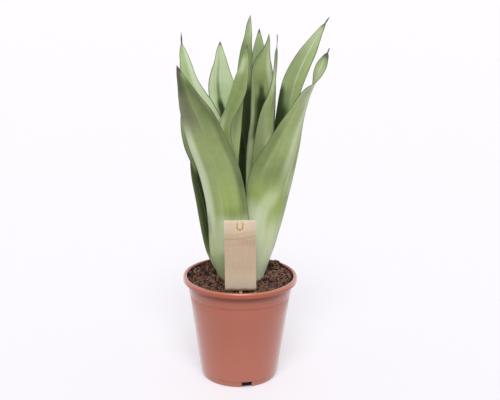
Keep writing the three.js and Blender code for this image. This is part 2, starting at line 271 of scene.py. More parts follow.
def new_object(name: str, points: Array, faces: Faces) -> Object:
    """Makes a smooth-shaded mesh object at the origin.

    Args:
        name: The piece's name.
        points: Its vertices.
        faces: Each face's vertex numbers, anticlockwise from outside.

    Returns:
        The new object, in the scene.
    """
    mesh = bpy.data.meshes.new(name)
    mesh.from_pydata([tuple(p) for p in points], [], faces)
    mesh.update()
    mesh.shade_smooth()
    return place_object(name, mesh)


def vertex_columns(piece: Object) -> Array:
    """Gives the x, the y and the z of a mesh's vertices, a row for each, in the mesh's own units."""
    return np.array([v.co for v in piece.data.vertices]).T


def set_attribute(piece: Object, name: str, values: Array) -> None:
    """Gives a mesh a number for each vertex."""
    attribute = piece.data.attributes.new(name, "FLOAT", "POINT")
    attribute.data.foreach_set("value", np.asarray(values, np.float32).ravel())


def bake_modifiers(piece: Object) -> None:
    """Turns what a piece's modifiers make into its plain mesh, and removes them.

    Args:
        piece: The object, changed in place.
    """
    bpy.context.view_layer.update()
    evaluated = piece.evaluated_get(bpy.context.evaluated_depsgraph_get())
    result = bpy.data.meshes.new_from_object(evaluated)
    piece.modifiers.clear()
    piece.data = result
    result.name = piece.name


def cut_away(piece: Object, cutter: Object) -> None:
    """Cuts one closed shape out of another.

    Args:
        piece: The piece that is cut, changed in place.
        cutter: The shape that is taken away, removed afterwards.
    """
    cut = piece.modifiers.new("cut", "BOOLEAN")
    cut.object = cutter
    cut.operation = "DIFFERENCE"
    cut.solver = "EXACT"
    bake_modifiers(piece)
    bpy.data.objects.remove(cutter)


def hand_over(piece: Object, slot: str, *nodes: str) -> None:
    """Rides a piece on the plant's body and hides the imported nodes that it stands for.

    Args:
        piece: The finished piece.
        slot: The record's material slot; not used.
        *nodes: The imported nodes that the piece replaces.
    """
    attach(piece, BODY)
    if nodes:
        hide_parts(*nodes)
    LOG.info("%s: %d faces", piece.name, len(piece.data.polygons))


# ---------- finishes ----------


@dataclass(frozen=True)
class PotPlastic:
    """Terracotta-coloured polypropylene, injection moulded in a polished steel tool.

    The eye gets an even, warm brick colour under a satin skin that mirrors the white room towards the sides,
    a deeper colour on the rim's outer face, a lighter one low on the wall as painted light, a painted
    highlight along the rim's top edge, a faint cloudiness where the melt flowed up the wall, a darker brown
    inside the mouth, and painted shade under the rim and along the foot's step.
    """

    name: str = "polypropylene_moulded_terracotta"
    colour: str = "965543"
    cloud_colour: str = "9a5948"
    # a deeper colour on the rim's outer face
    rim_face_colour: str = "933a14"
    # painted light: the low wall is painted lighter, as the light bounced up from the table
    low_wall_light_colour: str = "a25f4e"
    # painted highlight along the rim's rounded top edge
    rim_highlight_colour: str = "c98672"
    facing_gloss: str = "dc7757"
    # painted shade under the rim and along the foot's step
    painted_shade_colour: str = "541406"
    # a darker brown on the inside wall, up to the mouth's rounded edge
    mouth_dark_colour: str = "4e1a0d"
    side_sheen: str = "efe6f6"
    cloud_size: float = 70.0
    cloud_squash: float = 0.35
    grain_size: float = 0.9
    grain_depth: float = 0.1
    roughness: Pair = (0.21, 0.3)

    def build(self) -> Material:
        """Builds the material from the moulding's clouds and satin grain, the low wall's painted light, the
        rim's deeper outer face, the painted shade under the rim and at the foot, the rim's painted highlight
        and the darker inside of the mouth.

        Returns:
            The material.
        """
        material, tree, shader = new_material(self.name)
        place = add_node(tree, "ShaderNodeTexCoord").outputs["Object"]
        stretch = {"Vector": place, "Scale": (1.0, 1.0, self.cloud_squash)}
        flow = add_node(tree, "ShaderNodeMapping", stretch)
        cloud = {"Vector": flow, "Scale": 1 / (self.cloud_size * MM), "Detail": 1.0}
        clouds = add_node(tree, "ShaderNodeTexNoise", cloud)
        body = add_node(tree, "ShaderNodeValToRGB", {"Fac": clouds})
        set_stops(body, [(0.3, self.colour), (0.75, self.cloud_colour)])
        layers = (
            # the thin mark is painted light: the low wall painted lighter
            ("thin", self.low_wall_light_colour),
            # the thick mark gives the rim's outer face a deeper colour
            ("thick", self.rim_face_colour),
            # the corner mark is painted shade under the rim and along the foot's step
            ("corner", self.painted_shade_colour),
            # painted highlight on the rim's rounded top edge
            ("rim_highlight", self.rim_highlight_colour),
            # the inside wall darker brown, up to the mouth's rounded edge
            ("mouth_dark", self.mouth_dark_colour),
        )
        fine = {"Vector": place, "Scale": 1 / (self.grain_size * MM), "Detail": 2.0}
        grain = add_node(tree, "ShaderNodeTexNoise", fine)
        skin = {"Height": grain, "Strength": 0.08, "Distance": self.grain_depth * MM}
        smooth, rough = self.roughness
        gloss = {"Value": clouds, "To Min": smooth, "To Max": rough}
        feed(
            shader,
            {
                "Base Color": overlay(tree, body, layers),
                "Normal": add_node(tree, "ShaderNodeBump", skin),
                "Roughness": add_node(tree, "ShaderNodeMapRange", gloss),
                "IOR": 1.95,
                "Specular Tint": linear(self.facing_gloss),
                "Coat Weight": 0.9,
                "Coat Roughness": 0.22,
                "Coat IOR": 1.5,
                "Sheen Weight": 0.05,
                "Sheen Roughness": 0.35,
                "Sheen Tint": linear(self.side_sheen),
            },
        )
        return material


@dataclass(frozen=True)
class PottingSoil:
    """Peat potting soil, crumbled and pressed into the pot by hand.

    The eye gets matt, dark red-brown crumbs, the gaps between them painted near-black as shade, and lighter,
    drier crumbs strewn on top, painted lighter still at the back right as light.
    """

    name: str
    dark: str = "0d0705"
    middle: str = "3f271e"
    light: str = "7a594b"
    patch_size: float = 6.0
    grit_size: float = 0.8
    grit_depth: float = 0.4

    def build(self) -> Material:
        """Builds the material; a piece's "shade" attribute makes its crumbs lighter or darker.

        Returns:
            The material.
        """
        material, tree, shader = new_material(self.name)
        place = add_node(tree, "ShaderNodeTexCoord").outputs["Object"]
        patch = {"Vector": place, "Scale": 1 / (self.patch_size * MM), "Detail": 4.0, "Roughness": 0.65}
        patches = add_node(tree, "ShaderNodeTexNoise", patch)
        shade = add_node(tree, "ShaderNodeAttribute", attribute_name="shade").outputs["Fac"]
        both = add_node(tree, "ShaderNodeMath", {0: patches, 1: shade}, operation="ADD")
        mean = add_node(tree, "ShaderNodeMath", {0: both, 1: 0.5}, operation="MULTIPLY")
        colour = add_node(tree, "ShaderNodeValToRGB", {"Fac": mean})
        set_stops(colour, [(0.3, self.dark), (0.56, self.middle), (0.8, self.light)])
        fine = {"Vector": place, "Scale": 1 / (self.grit_size * MM), "Detail": 3.0}
        grit = add_node(tree, "ShaderNodeTexNoise", fine)
        skin = {"Height": grit, "Strength": 0.8, "Distance": self.grit_depth * MM}
        feed(
            shader,
            {
                "Base Color": colour,
                "Normal": add_node(tree, "ShaderNodeBump", skin),
                "Roughness": 0.92,
                "Specular IOR Level": 0.25,
            },
        )
        return material


@dataclass(frozen=True)
class PeatFibre:
    """Shreds of bark, straw and moss that lie in potting soil, dried on its surface."""

    name: str
    dark: str
    light: str
    speck_size: float = 0.9
    speck_depth: float = 0.1

    def build(self) -> Material:
        """Builds the material; "shade" picks each shred's own tone.

        Returns:
            The material.
        """
        material, tree, shader = new_material(self.name)
        shade = add_node(tree, "ShaderNodeAttribute", attribute_name="shade").outputs["Fac"]
        place = add_node(tree, "ShaderNodeTexCoord").outputs["Object"]
        speck = {"Vector": place, "Scale": 1 / (self.speck_size * MM)}
        specks = add_node(tree, "ShaderNodeTexNoise", speck)
        tone = add_node(tree, "ShaderNodeMath", {0: specks, 1: 0.4, 2: shade}, operation="MULTIPLY_ADD")
        colour = add_node(tree, "ShaderNodeValToRGB", {"Fac": tone})
        set_stops(colour, [(0.2, self.dark), (1.0, self.light)])
        skin = {"Height": specks, "Strength": 0.4, "Distance": self.speck_depth * MM}
        bump = add_node(tree, "ShaderNodeBump", skin)
        feed(shader, {"Base Color": colour, "Normal": bump, "Roughness": 0.8})
        return material


@dataclass(frozen=True)
class LeafCuticle:
    """The waxy skin of a silver-green snake plant leaf, grown with fine lengthwise fibres under it.

    The eye gets a satin olive green under a thin silver bloom, streaked along the leaf, faintly banded across
    it, with a dark line along each margin and a dry grey-brown point. Over it lie pale stretches, which are
    the silver bloom together with painted highlights and painted light, and dark ones, which are painted
    shade. A pattern is its size across and along, in millimetres of real leaf, and how many finer octaves it
    has; the fibres are drawn at 1.3 mm, coarser than life, so that they show. Each edge break is how far the
    streaks fray a soft or a hard tone's edge.
    """

    name: str = "snake_plant_cuticle"
    front: tuple[str, str, str] = ("7d8e50", "87985a", "92a365")
    back: tuple[str, str, str] = ("9eb67f", "abc18c", "b7cc9a")
    shade_stops: Triple = (0.34, 0.5, 0.68)
    # pale is the silver bloom together with painted highlights and painted light
    pale: str = "d3dcbd"
    # dark is painted shade between and inside the leaves
    dark: str = "232f0b"
    fresh: str = "93a94e"
    dull: str = "706f58"
    margin_line: str = "4a5a35"
    point: str = "4f4a47"
    streak: Triple = (3.4, 120.0, 3.0)
    fibre: Triple = (1.3, 60.0, 2.0)
    band: Triple = (15.0, 11.0, 4.0)
    weights: Triple = (0.45, 0.2, 0.35)
    edge_break: Pair = (1.1, 2.4)
    margin_width: float = 0.65
    margin_core: float = 0.4
    point_length: float = 9.0
    point_core: float = 0.5
    fibre_depth: float = 0.25
    roughness: Pair = (0.31, 0.48)

    def build(self) -> Material:
        """Builds the material from the leaf's own measures: along, across, margin, point, tone and masks.

        Returns:
            The material.
        """
        material, tree, shader = new_material(self.name)
        names = ("along", "across", "margin", "point", "tone", "seed", "pale", "fresh", "dull", "dark")
        own = {
            name: add_node(tree, "ShaderNodeAttribute", attribute_name=name).outputs["Fac"]
            for name in names
        }
        patterns = [self._pattern(tree, own, size) for size in (self.streak, self.fibre, self.band)]
        grain: Source | float = 0.0
        for pattern, weight in zip(patterns, self.weights):
            parts = {0: pattern, 1: weight, 2: grain}
            grain = add_node(tree, "ShaderNodeMath", parts, operation="MULTIPLY_ADD")
        faces = []
        for shades in (self.front, self.back):
            faces.append(add_node(tree, "ShaderNodeValToRGB", {"Fac": grain}))
            set_stops(faces[-1], zip(self.shade_stops, shades))
        inputs = {"Factor": own["tone"], "A": faces[0], "B": faces[1]}
        green = add_node(tree, "ShaderNodeMix", inputs, data_type="RGBA")
        smooth, rough = self.roughness
        gloss = {"Value": patterns[1], "To Min": smooth, "To Max": rough}
        skin = {"Height": grain, "Strength": 0.25, "Distance": self.fibre_depth * MM}
        feed(
            shader,
            {
                "Base Color": overlay(tree, green, self._layers(tree, own, patterns[0])),
                "Normal": add_node(tree, "ShaderNodeBump", skin),
                "Roughness": add_node(tree, "ShaderNodeMapRange", gloss),
                "IOR": 1.45,
                "Sheen Weight": 0.12,
                "Sheen Roughness": 0.45,
            },
        )
        return material

    def _layers(
        self, tree: NodeTree, own: dict[str, NodeSocket], streak: Source
    ) -> list[tuple[Source, str]]:
        """Lists what lies over the even green: the stretches of each tone, the margin line and the point.

        Args:
            tree: The node tree.
            own: The leaf's attribute sockets.
            streak: The lengthwise pattern that frays the stretches.

        Returns:
            Each layer's mask and hex colour.
        """
        soft, hard = self.edge_break
        # pale stretches are silver bloom with painted highlights and painted light; dark ones are painted
        # shade
        tones = (
            (Tone.FRESH, self.fresh, soft),
            (Tone.DULL, self.dull, hard),
            (Tone.PALE, self.pale, soft),
            (Tone.DARK, self.dark, hard),
        )
        layers = [(self._fray(tree, own[tone.value], streak, by), colour) for tone, colour, by in tones]
        for name, reach, core, colour in (
            ("margin", self.margin_width, self.margin_core, self.margin_line),
            ("point", self.point_length, self.point_core, self.point),
        ):
            ends = {"Value": own[name], "From Min": reach, "From Max": reach * core}
            edge = add_node(tree, "ShaderNodeMapRange", ends, interpolation_type="SMOOTHSTEP")
            layers.append((edge, colour))
        return layers

    def _fray(self, tree: NodeTree, mask: NodeSocket, streak: Source, strength: float) -> Source:
        """Breaks a mask's soft edge up into the leaf's streaks, and leaves its full and empty parts alone.

        Args:
            tree: The node tree.
            mask: The mask, 0 to 1.
            streak: The lengthwise pattern, 0 to 1.
            strength: How strongly the pattern moves the edge.

        Returns:
            The frayed mask.
        """
        rest = add_node(tree, "ShaderNodeMath", {0: 1.0, 1: mask}, operation="SUBTRACT")
        edge = add_node(tree, "ShaderNodeMath", {0: mask, 1: rest}, operation="MULTIPLY")
        centred = add_node(tree, "ShaderNodeMath", {0: streak, 1: 0.5}, operation="SUBTRACT")
        change = add_node(tree, "ShaderNodeMath", {0: centred, 1: strength}, operation="MULTIPLY")
        parts = {0: edge, 1: change, 2: mask}
        return add_node(tree, "ShaderNodeMath", parts, operation="MULTIPLY_ADD", use_clamp=True)

    def _pattern(self, tree: NodeTree, own: dict[str, NodeSocket], size: Triple) -> Source:
        """Adds a noise that is stretched along or across the leaf.

        Args:
            tree: The node tree.
            own: The leaf's attribute sockets.
            size: The pattern's size across and along the leaf, in millimetres, and its finer octaves.

        Returns:
            The source of a number from 0 to 1.
        """
        *lengths, octaves = size
        across, along = (
            add_node(tree, "ShaderNodeMath", {0: own[name], 1: 1 / length}, operation="MULTIPLY")
            for name, length in zip(("across", "along"), lengths)
        )
        place = add_node(tree, "ShaderNodeCombineXYZ", {"X": across, "Y": along, "Z": own["seed"]})
        return add_node(tree, "ShaderNodeTexNoise", {"Vector": place, "Scale": 1.0, "Detail": octaves})


@dataclass(frozen=True)
class KraftCard:
    """Unbleached kraft board, rolled in the mill and die cut, with a faint upright grain.

    The eye gets an even, matt buff card with flecks, lighter along its top and, as painted light, towards its
    foot, with soft creases where it has been bent and painted shade along them, painted shade in orange-brown
    round its slit and a darker brown edge where it meets the soil.
    """

    name: str = "kraft_board_uncoated"
    colour: str = "b39c83"
    light: str = "bba48c"
    dark: str = "ab947b"
    # a lighter colour along the top, and at the foot as painted light
    lightened_colour: str = "e2d4ba"
    # painted shade along the creases
    crease_shade: str = "94795c"
    # painted shade round the slit, in orange-brown
    slit_shade: str = "a8622c"
    # a darker brown along the card's bottom edge
    bottom_dark: str = "74503a"
    grain_size: Triple = (2.3, 2.3, 45.0)
    grain_depth: float = 0.12
    fleck_size: float = 1.5

    def build(self) -> Material:
        """Builds the material from grain, flecks and the card's lighter places, painted light at its foot
        among them, the painted shade along its creases and round its slit, and its darker bottom edge.

        Returns:
            The material.
        """
        material, tree, shader = new_material(self.name)
        place = add_node(tree, "ShaderNodeTexCoord").outputs["Object"]
        scale = tuple(1 / (size * MM) for size in self.grain_size)
        upright = add_node(tree, "ShaderNodeMapping", {"Vector": place, "Scale": scale})
        grain = add_node(tree, "ShaderNodeTexNoise", {"Vector": upright, "Scale": 1.0, "Detail": 3.0})
        fleck = {"Vector": place, "Scale": 1 / (self.fleck_size * MM), "Detail": 2.0, "Roughness": 0.7}
        flecks = add_node(tree, "ShaderNodeTexNoise", fleck)
        tone = add_node(tree, "ShaderNodeMath", {0: grain, 1: 0.35, 2: flecks}, operation="MULTIPLY_ADD")
        body = add_node(tree, "ShaderNodeValToRGB", {"Fac": tone})
        set_stops(body, [(0.45, self.dark), (0.68, self.colour), (0.9, self.light)])
        layers = (
            # lighter along the top, and at the foot as painted light
            ("lightened", self.lightened_colour),
            # painted shade along the creases, and the smear
            ("crease", self.crease_shade),
            # painted shade round the slit
            ("slit_shade", self.slit_shade),
            # darker brown along the bottom edge
            ("bottom_dark", self.bottom_dark),
        )
        skin = {"Height": tone, "Strength": 0.3, "Distance": self.grain_depth * MM}
        bump = add_node(tree, "ShaderNodeBump", skin)
        feed(shader, {"Base Color": overlay(tree, body, layers), "Normal": bump, "Roughness": 0.78})
        return material


@dataclass(frozen=True)
class StakePlastic:
    """Clear pinkish styrene, moulded thin: light passes through it and its edges shine."""

    name: str = "styrene_clear_moulded"
    colour: str = "dbb294"
    edge: str = "f0d6c2"
    head: str = "f2dcae"
    wave_size: float = 4.0
    wave_depth: float = 0.2

    def build(self) -> Material:
        """Builds the material, half clear, with a slow waviness left by the mould and a cream head.

        Returns:
            The material.
        """
        material, tree, shader = new_material(self.name)
        place = add_node(tree, "ShaderNodeTexCoord").outputs["Object"]
        wave = {"Vector": place, "Scale": 1 / (self.wave_size * MM)}
        waves = add_node(tree, "ShaderNodeTexNoise", wave)
        body = add_node(tree, "ShaderNodeValToRGB", {"Fac": waves})
        set_stops(body, [(0.3, self.colour), (0.8, self.edge)])
        skin = {"Height": waves, "Strength": 0.2, "Distance": self.wave_depth * MM}
        feed(
            shader,
            {
                "Base Color": overlay(tree, body, (("head", self.head),)),
                "Normal": add_node(tree, "ShaderNodeBump", skin),
                "Roughness": 0.22,
                "IOR": 1.55,
                "Transmission Weight": 0.35,
            },
        )
        return material


# ---------- pot ----------


@dataclass
class Pot:
    """The moulded nursery pot: a turned wall with a rolled rim, a foot, and notches that let water out.

    The two lips and the rim's corner are points of its section, each a step in radius and height: the foot's
    from the body at the foot's top, the shoulder's from the wall at the shoulder and the corner's from the
    collar at the rim's underside. A fade is where a mark starts and ends, from the height it belongs to.
    """

    node: str = "pot"
    rim_band: float = 8.2
    rim_width: float = 5.6
    rim_round: float = 2.2
    rim_curl: float = 1.4
    rim_corner: tuple[Pair, ...] = ((-0.3, -2.2), (0.1, -0.9), (1.2, -0.1))
    collar_radius: float = 78.6
    collar_ends: float = 3.0
    collar_row: float = 2.0
    shoulder_height: float = 131.0
    shoulder_radius: float = 76.0
    shoulder_step: float = 0.6
    shoulder_lip: tuple[Pair, ...] = (
        (-0.25, -1.7), (-0.65, -0.9), (-0.65, -0.4), (0.0, 0.2), (0.6, 0.8), (0.68, 1.2),
    )
    body_radius: float = 58.6
    wall_rows: tuple[float, ...] = (1.0, 2.2, 25.0, 50.0, 75.0, 100.0)
    foot_height: float = 9.0
    foot_radius: float = 55.9
    foot_step: float = 1.2
    foot_lip: tuple[Pair, ...] = ((-1.2, -2.0), (-1.2, -0.3), (-1.05, 0.0), (-0.25, 0.7), (0.0, 1.1))
    foot_round: float = 2.5
    wall: float = 2.0
    floor: float = 3.6
    inner_slope: float = 2.0
    inner_neck: float = 1.0
    channel: Triple = (34.0, 45.5, 1.4)
    drains: int = 4
    first_drain: float = -78.0
    drain_width: float = 15.5
    drain_height: float = 9.0
    drain_inner: float = 47.0
    facets: int = 288
    sharp_angle: float = 50.0
    # painted shade under the rim and along the foot's step: where it starts, is full and stops, and how strong
    # it is
    rim_shade: Triple = (151.7, 147.5, 139.0)
    rim_shade_strength: float = 0.88
    foot_shade: Pair = (9.4, 1.1)
    foot_shade_strength: float = 0.4
    # painted light: the low wall is painted lighter, fading out by low_light_height
    low_light_height: float = 110.0
    low_light_strength: float = 0.9
    # how strongly the rim's outer face takes its deeper colour
    rim_face_strength: float = 0.85
    band_fade: float = 0.6
    round_fade: Pair = (-0.4, 1.0)
    # painted highlight: how strong it is on the rim's rounded top edge, and where it fades in
    rim_highlight_strength: float = 0.45
    rim_highlight_fade: Pair = (-0.2, 0.5)
    # how far in the marks reach, and where the darker inside of the mouth ends below the rim's top
    mark_depth: float = 0.3
    mouth_dark_top: float = 0.2
    height: float = field(init=False)
    rim_radius: float = field(init=False)

    def __post_init__(self) -> None:
        """Takes the pot's height and its rim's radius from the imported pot."""
        low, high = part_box(self.node)
        self.height = high.z / MM
        self.rim_radius = (high.x - low.x) / (2 * MM)

    def inner_radius(self, height: Array | float) -> Array:
        """Gives the inside radius at a height.

        Args:
            height: One height or many, in millimetres.

        Returns:
            The radii, in millimetres.
        """
        corners = (
            (self.floor, self.foot_radius - self.wall),
            (self.foot_height, self.body_radius - self.foot_step - self.wall),
            (self.foot_height + self.inner_slope, self.body_radius - self.wall),
            (self.shoulder_height, self.shoulder_radius - self.shoulder_step - self.wall),
            (self.height - self.rim_band - self.inner_neck, self.collar_radius - self.wall),
            (self.height - self.rim_round, self.rim_radius - self.rim_width),
        )
        return np.interp(height, *zip(*corners))

    def build(self) -> Object:
        """Turns the wall, cuts the drain notches and dresses the pot.

        Returns:
            The finished pot.
        """
        piece = self._turn(self._profile())
        self._cut_drains(piece)
        self._mark(piece)
        piece.data.shade_smooth()
        piece.data.set_sharp_from_angle(angle=math.radians(self.sharp_angle))
        piece.data.materials.append(PotPlastic().build())
        hand_over(piece, "pot", self.node)
        return piece

    def _mark(self, piece: Object) -> None:
        """Marks the rim's deeper outer face, its painted highlight, the low wall's painted light, the painted
        shade under the rim and at the foot's step, and the darker inside of the mouth.

        Args:
            piece: The turned pot.
        """
        x, y, z = vertex_columns(piece) / MM
        away = np.hypot(x, y)
        top, rim_bottom = self.height - self.rim_round, self.height - self.rim_band
        near = np.where(z > top, self.rim_round, self.mark_depth)
        inside = (away < self.inner_radius(z) + near) & (z > self.floor)
        # the rim's outer face, between its underside and its rounded top, in a deeper colour
        start, end = self.round_fade
        face = smooth_step(z, rim_bottom - self.band_fade, rim_bottom + self.band_fade)
        face *= 1 - smooth_step(z, top + start, top + end)
        # painted shade under the rim and along the foot's step
        high, middle, low = self.rim_shade
        corner = smooth_step(z, low, middle) * (z < high)
        step_height, step_spread = self.foot_shade
        step = np.exp(-(((z - step_height) / step_spread) ** 2))
        painted_shade = np.maximum(self.rim_shade_strength * corner, self.foot_shade_strength * step)
        # painted highlight on the rim's rounded top edge
        rounding = away > self.rim_radius - self.rim_round - self.mark_depth
        start, end = self.rim_highlight_fade
        rim_highlight = self.rim_highlight_strength * rounding * smooth_step(z, top + start, top + end)
        # painted light: the low wall painted lighter, fading out upwards
        thin = self.low_light_strength * (1 - smooth_step(z, self.foot_height, self.low_light_height))
        set_attribute(piece, "thin", thin * ~inside)
        set_attribute(piece, "thick", self.rim_face_strength * face * ~inside)
        set_attribute(piece, "corner", painted_shade * ~inside)
        set_attribute(piece, "rim_highlight", rim_highlight)
        # the inside wall darker brown, fading out over the mouth's rounded edge
        set_attribute(piece, "mouth_dark", inside * (1 - smooth_step(z, top, self.height - self.mouth_dark_top)))

    def _arc(
        self, radius: float, height: float, bend: float, start: float, end: float, steps: int = 8
    ) -> list[Pair]:
        """Lists the points of a rounded edge.

        Args:
            radius: The radius of the edge's centre.
            height: The height of the edge's centre.
            bend: The edge's own radius.
            start: Its first angle, in degrees.
            end: Its last angle.
            steps: How many straight pieces it has.

        Returns:
            Pairs of radius and height.
        """
        angles = np.radians(np.linspace(start, end, steps + 1))
        return [(radius + bend * math.cos(a), height + bend * math.sin(a)) for a in angles]

    def _profile(self) -> list[Pair]:
        """Lists the section, up the outside from the underside, over the rim and down to the floor.

        Returns:
            Pairs of radius and height.
        """
        inner, outer, depth = self.channel
        underside = [(inner, 0), (inner + depth, depth), (outer - depth, depth), (outer, 0)]
        foot = self._arc(self.foot_radius - self.foot_round, self.foot_round, self.foot_round, -90, 0)
        foot_lip = [(self.body_radius + r, self.foot_height + z) for r, z in self.foot_lip]
        below_step = self.shoulder_radius - self.shoulder_step
        low = foot_lip[-1][1]
        wall_ends = ((low, self.shoulder_height), (self.body_radius, below_step))
        wall = [(float(np.interp(low + z, *wall_ends)), low + z) for z in self.wall_rows]
        shoulder = [(below_step + r, self.shoulder_height + z) for r, z in self.shoulder_lip]
        rim_bottom = self.height - self.rim_band
        collar_ends = ((self.shoulder_height, rim_bottom), (self.shoulder_radius, self.collar_radius))
        rows = np.arange(
            self.shoulder_height + self.collar_ends, rim_bottom - self.collar_ends, self.collar_row
        )
        collar = [(np.interp(z, *collar_ends), z) for z in rows]
        under_rim = [(self.collar_radius + r, rim_bottom + z) for r, z in self.rim_corner]
        curl_centre = (self.rim_radius - self.rim_curl, rim_bottom + self.rim_curl)
        curl = self._arc(*curl_centre, self.rim_curl, -90, 0, 5)
        top, mouth_radius = self.height - self.rim_round, self.rim_radius - self.rim_width
        lip = self._arc(self.rim_radius - self.rim_round, top, self.rim_round, 0, 90)
        mouth = self._arc(mouth_radius + self.rim_round, top, self.rim_round, 90, 180)
        inner_heights = (
            rim_bottom - self.inner_neck,
            self.shoulder_height,
            self.foot_height + self.inner_slope,
            self.foot_height,
            self.floor,
        )
        inside = [(float(self.inner_radius(z)), z) for z in inner_heights]
        outside = [*underside, *foot, *foot_lip, *wall, *shoulder, *collar, *under_rim, *curl]
        return [*outside, *lip, *mouth, *inside]

    def _turn(self, profile: list[Pair]) -> Object:
        """Turns the section about the pot's axis, and closes it with a floor above and below.

        Args:
            profile: Pairs of radius and height.

        Returns:
            The turned pot, one closed body.
        """
        across, back = circle(self.facets)
        rings = [np.stack([r * across, r * back, np.full_like(across, z)], axis=1) for r, z in profile]
        bottom, top = np.array([[0, 0, profile[0][1]]]), np.array([[0, 0, profile[-1][1]]])
        points = np.concatenate([*rings, bottom, top]) * MM
        count = len(points) - 2
        faces = ring_faces(np.arange(count).reshape(-1, self.facets))
        faces += fan_faces(range(self.facets)[::-1], count)
        faces += fan_faces(range(count - self.facets, count), count + 1)
        return new_object(self.node + "_moulded", points, faces)

    def _cut_drains(self, piece: Object) -> None:
        """Cuts the drain notches out of the foot.

        Args:
            piece: The turned pot.
        """
        cutter_mesh = bmesh.new()
        length = self.rim_radius - self.drain_inner
        for i in range(self.drains):
            turn = Matrix.Rotation(math.radians(self.first_drain + i * 360 / self.drains), 4, "Z")
            shift = Matrix.Translation((MM * (self.drain_inner + length / 2), 0, 0))
            size = Matrix.Diagonal((length * MM, self.drain_width * MM, 2 * self.drain_height * MM, 1))
            bmesh.ops.create_cube(cutter_mesh, size=1, matrix=turn @ shift @ size)
        mesh = bpy.data.meshes.new("drain_cutter")
        cutter_mesh.to_mesh(mesh)
        cutter_mesh.free()
        cut_away(piece, place_object("drain_cutter", mesh))


# ---------- soil ----------


@dataclass
class Scatter:
    """How one kind of bit is strewn over the soil: how many, how large, how flat, and with what shape.

    Sides is how finely a crumb is divided, and 0 for a shred. Sink is the share of the smallest bit's size
    that lies under the surface.
    """

    name: str
    count: int
    smallest: float
    largest: float
    flatness: float
    sides: int
    roughness: float
    sink: float
    seed: int


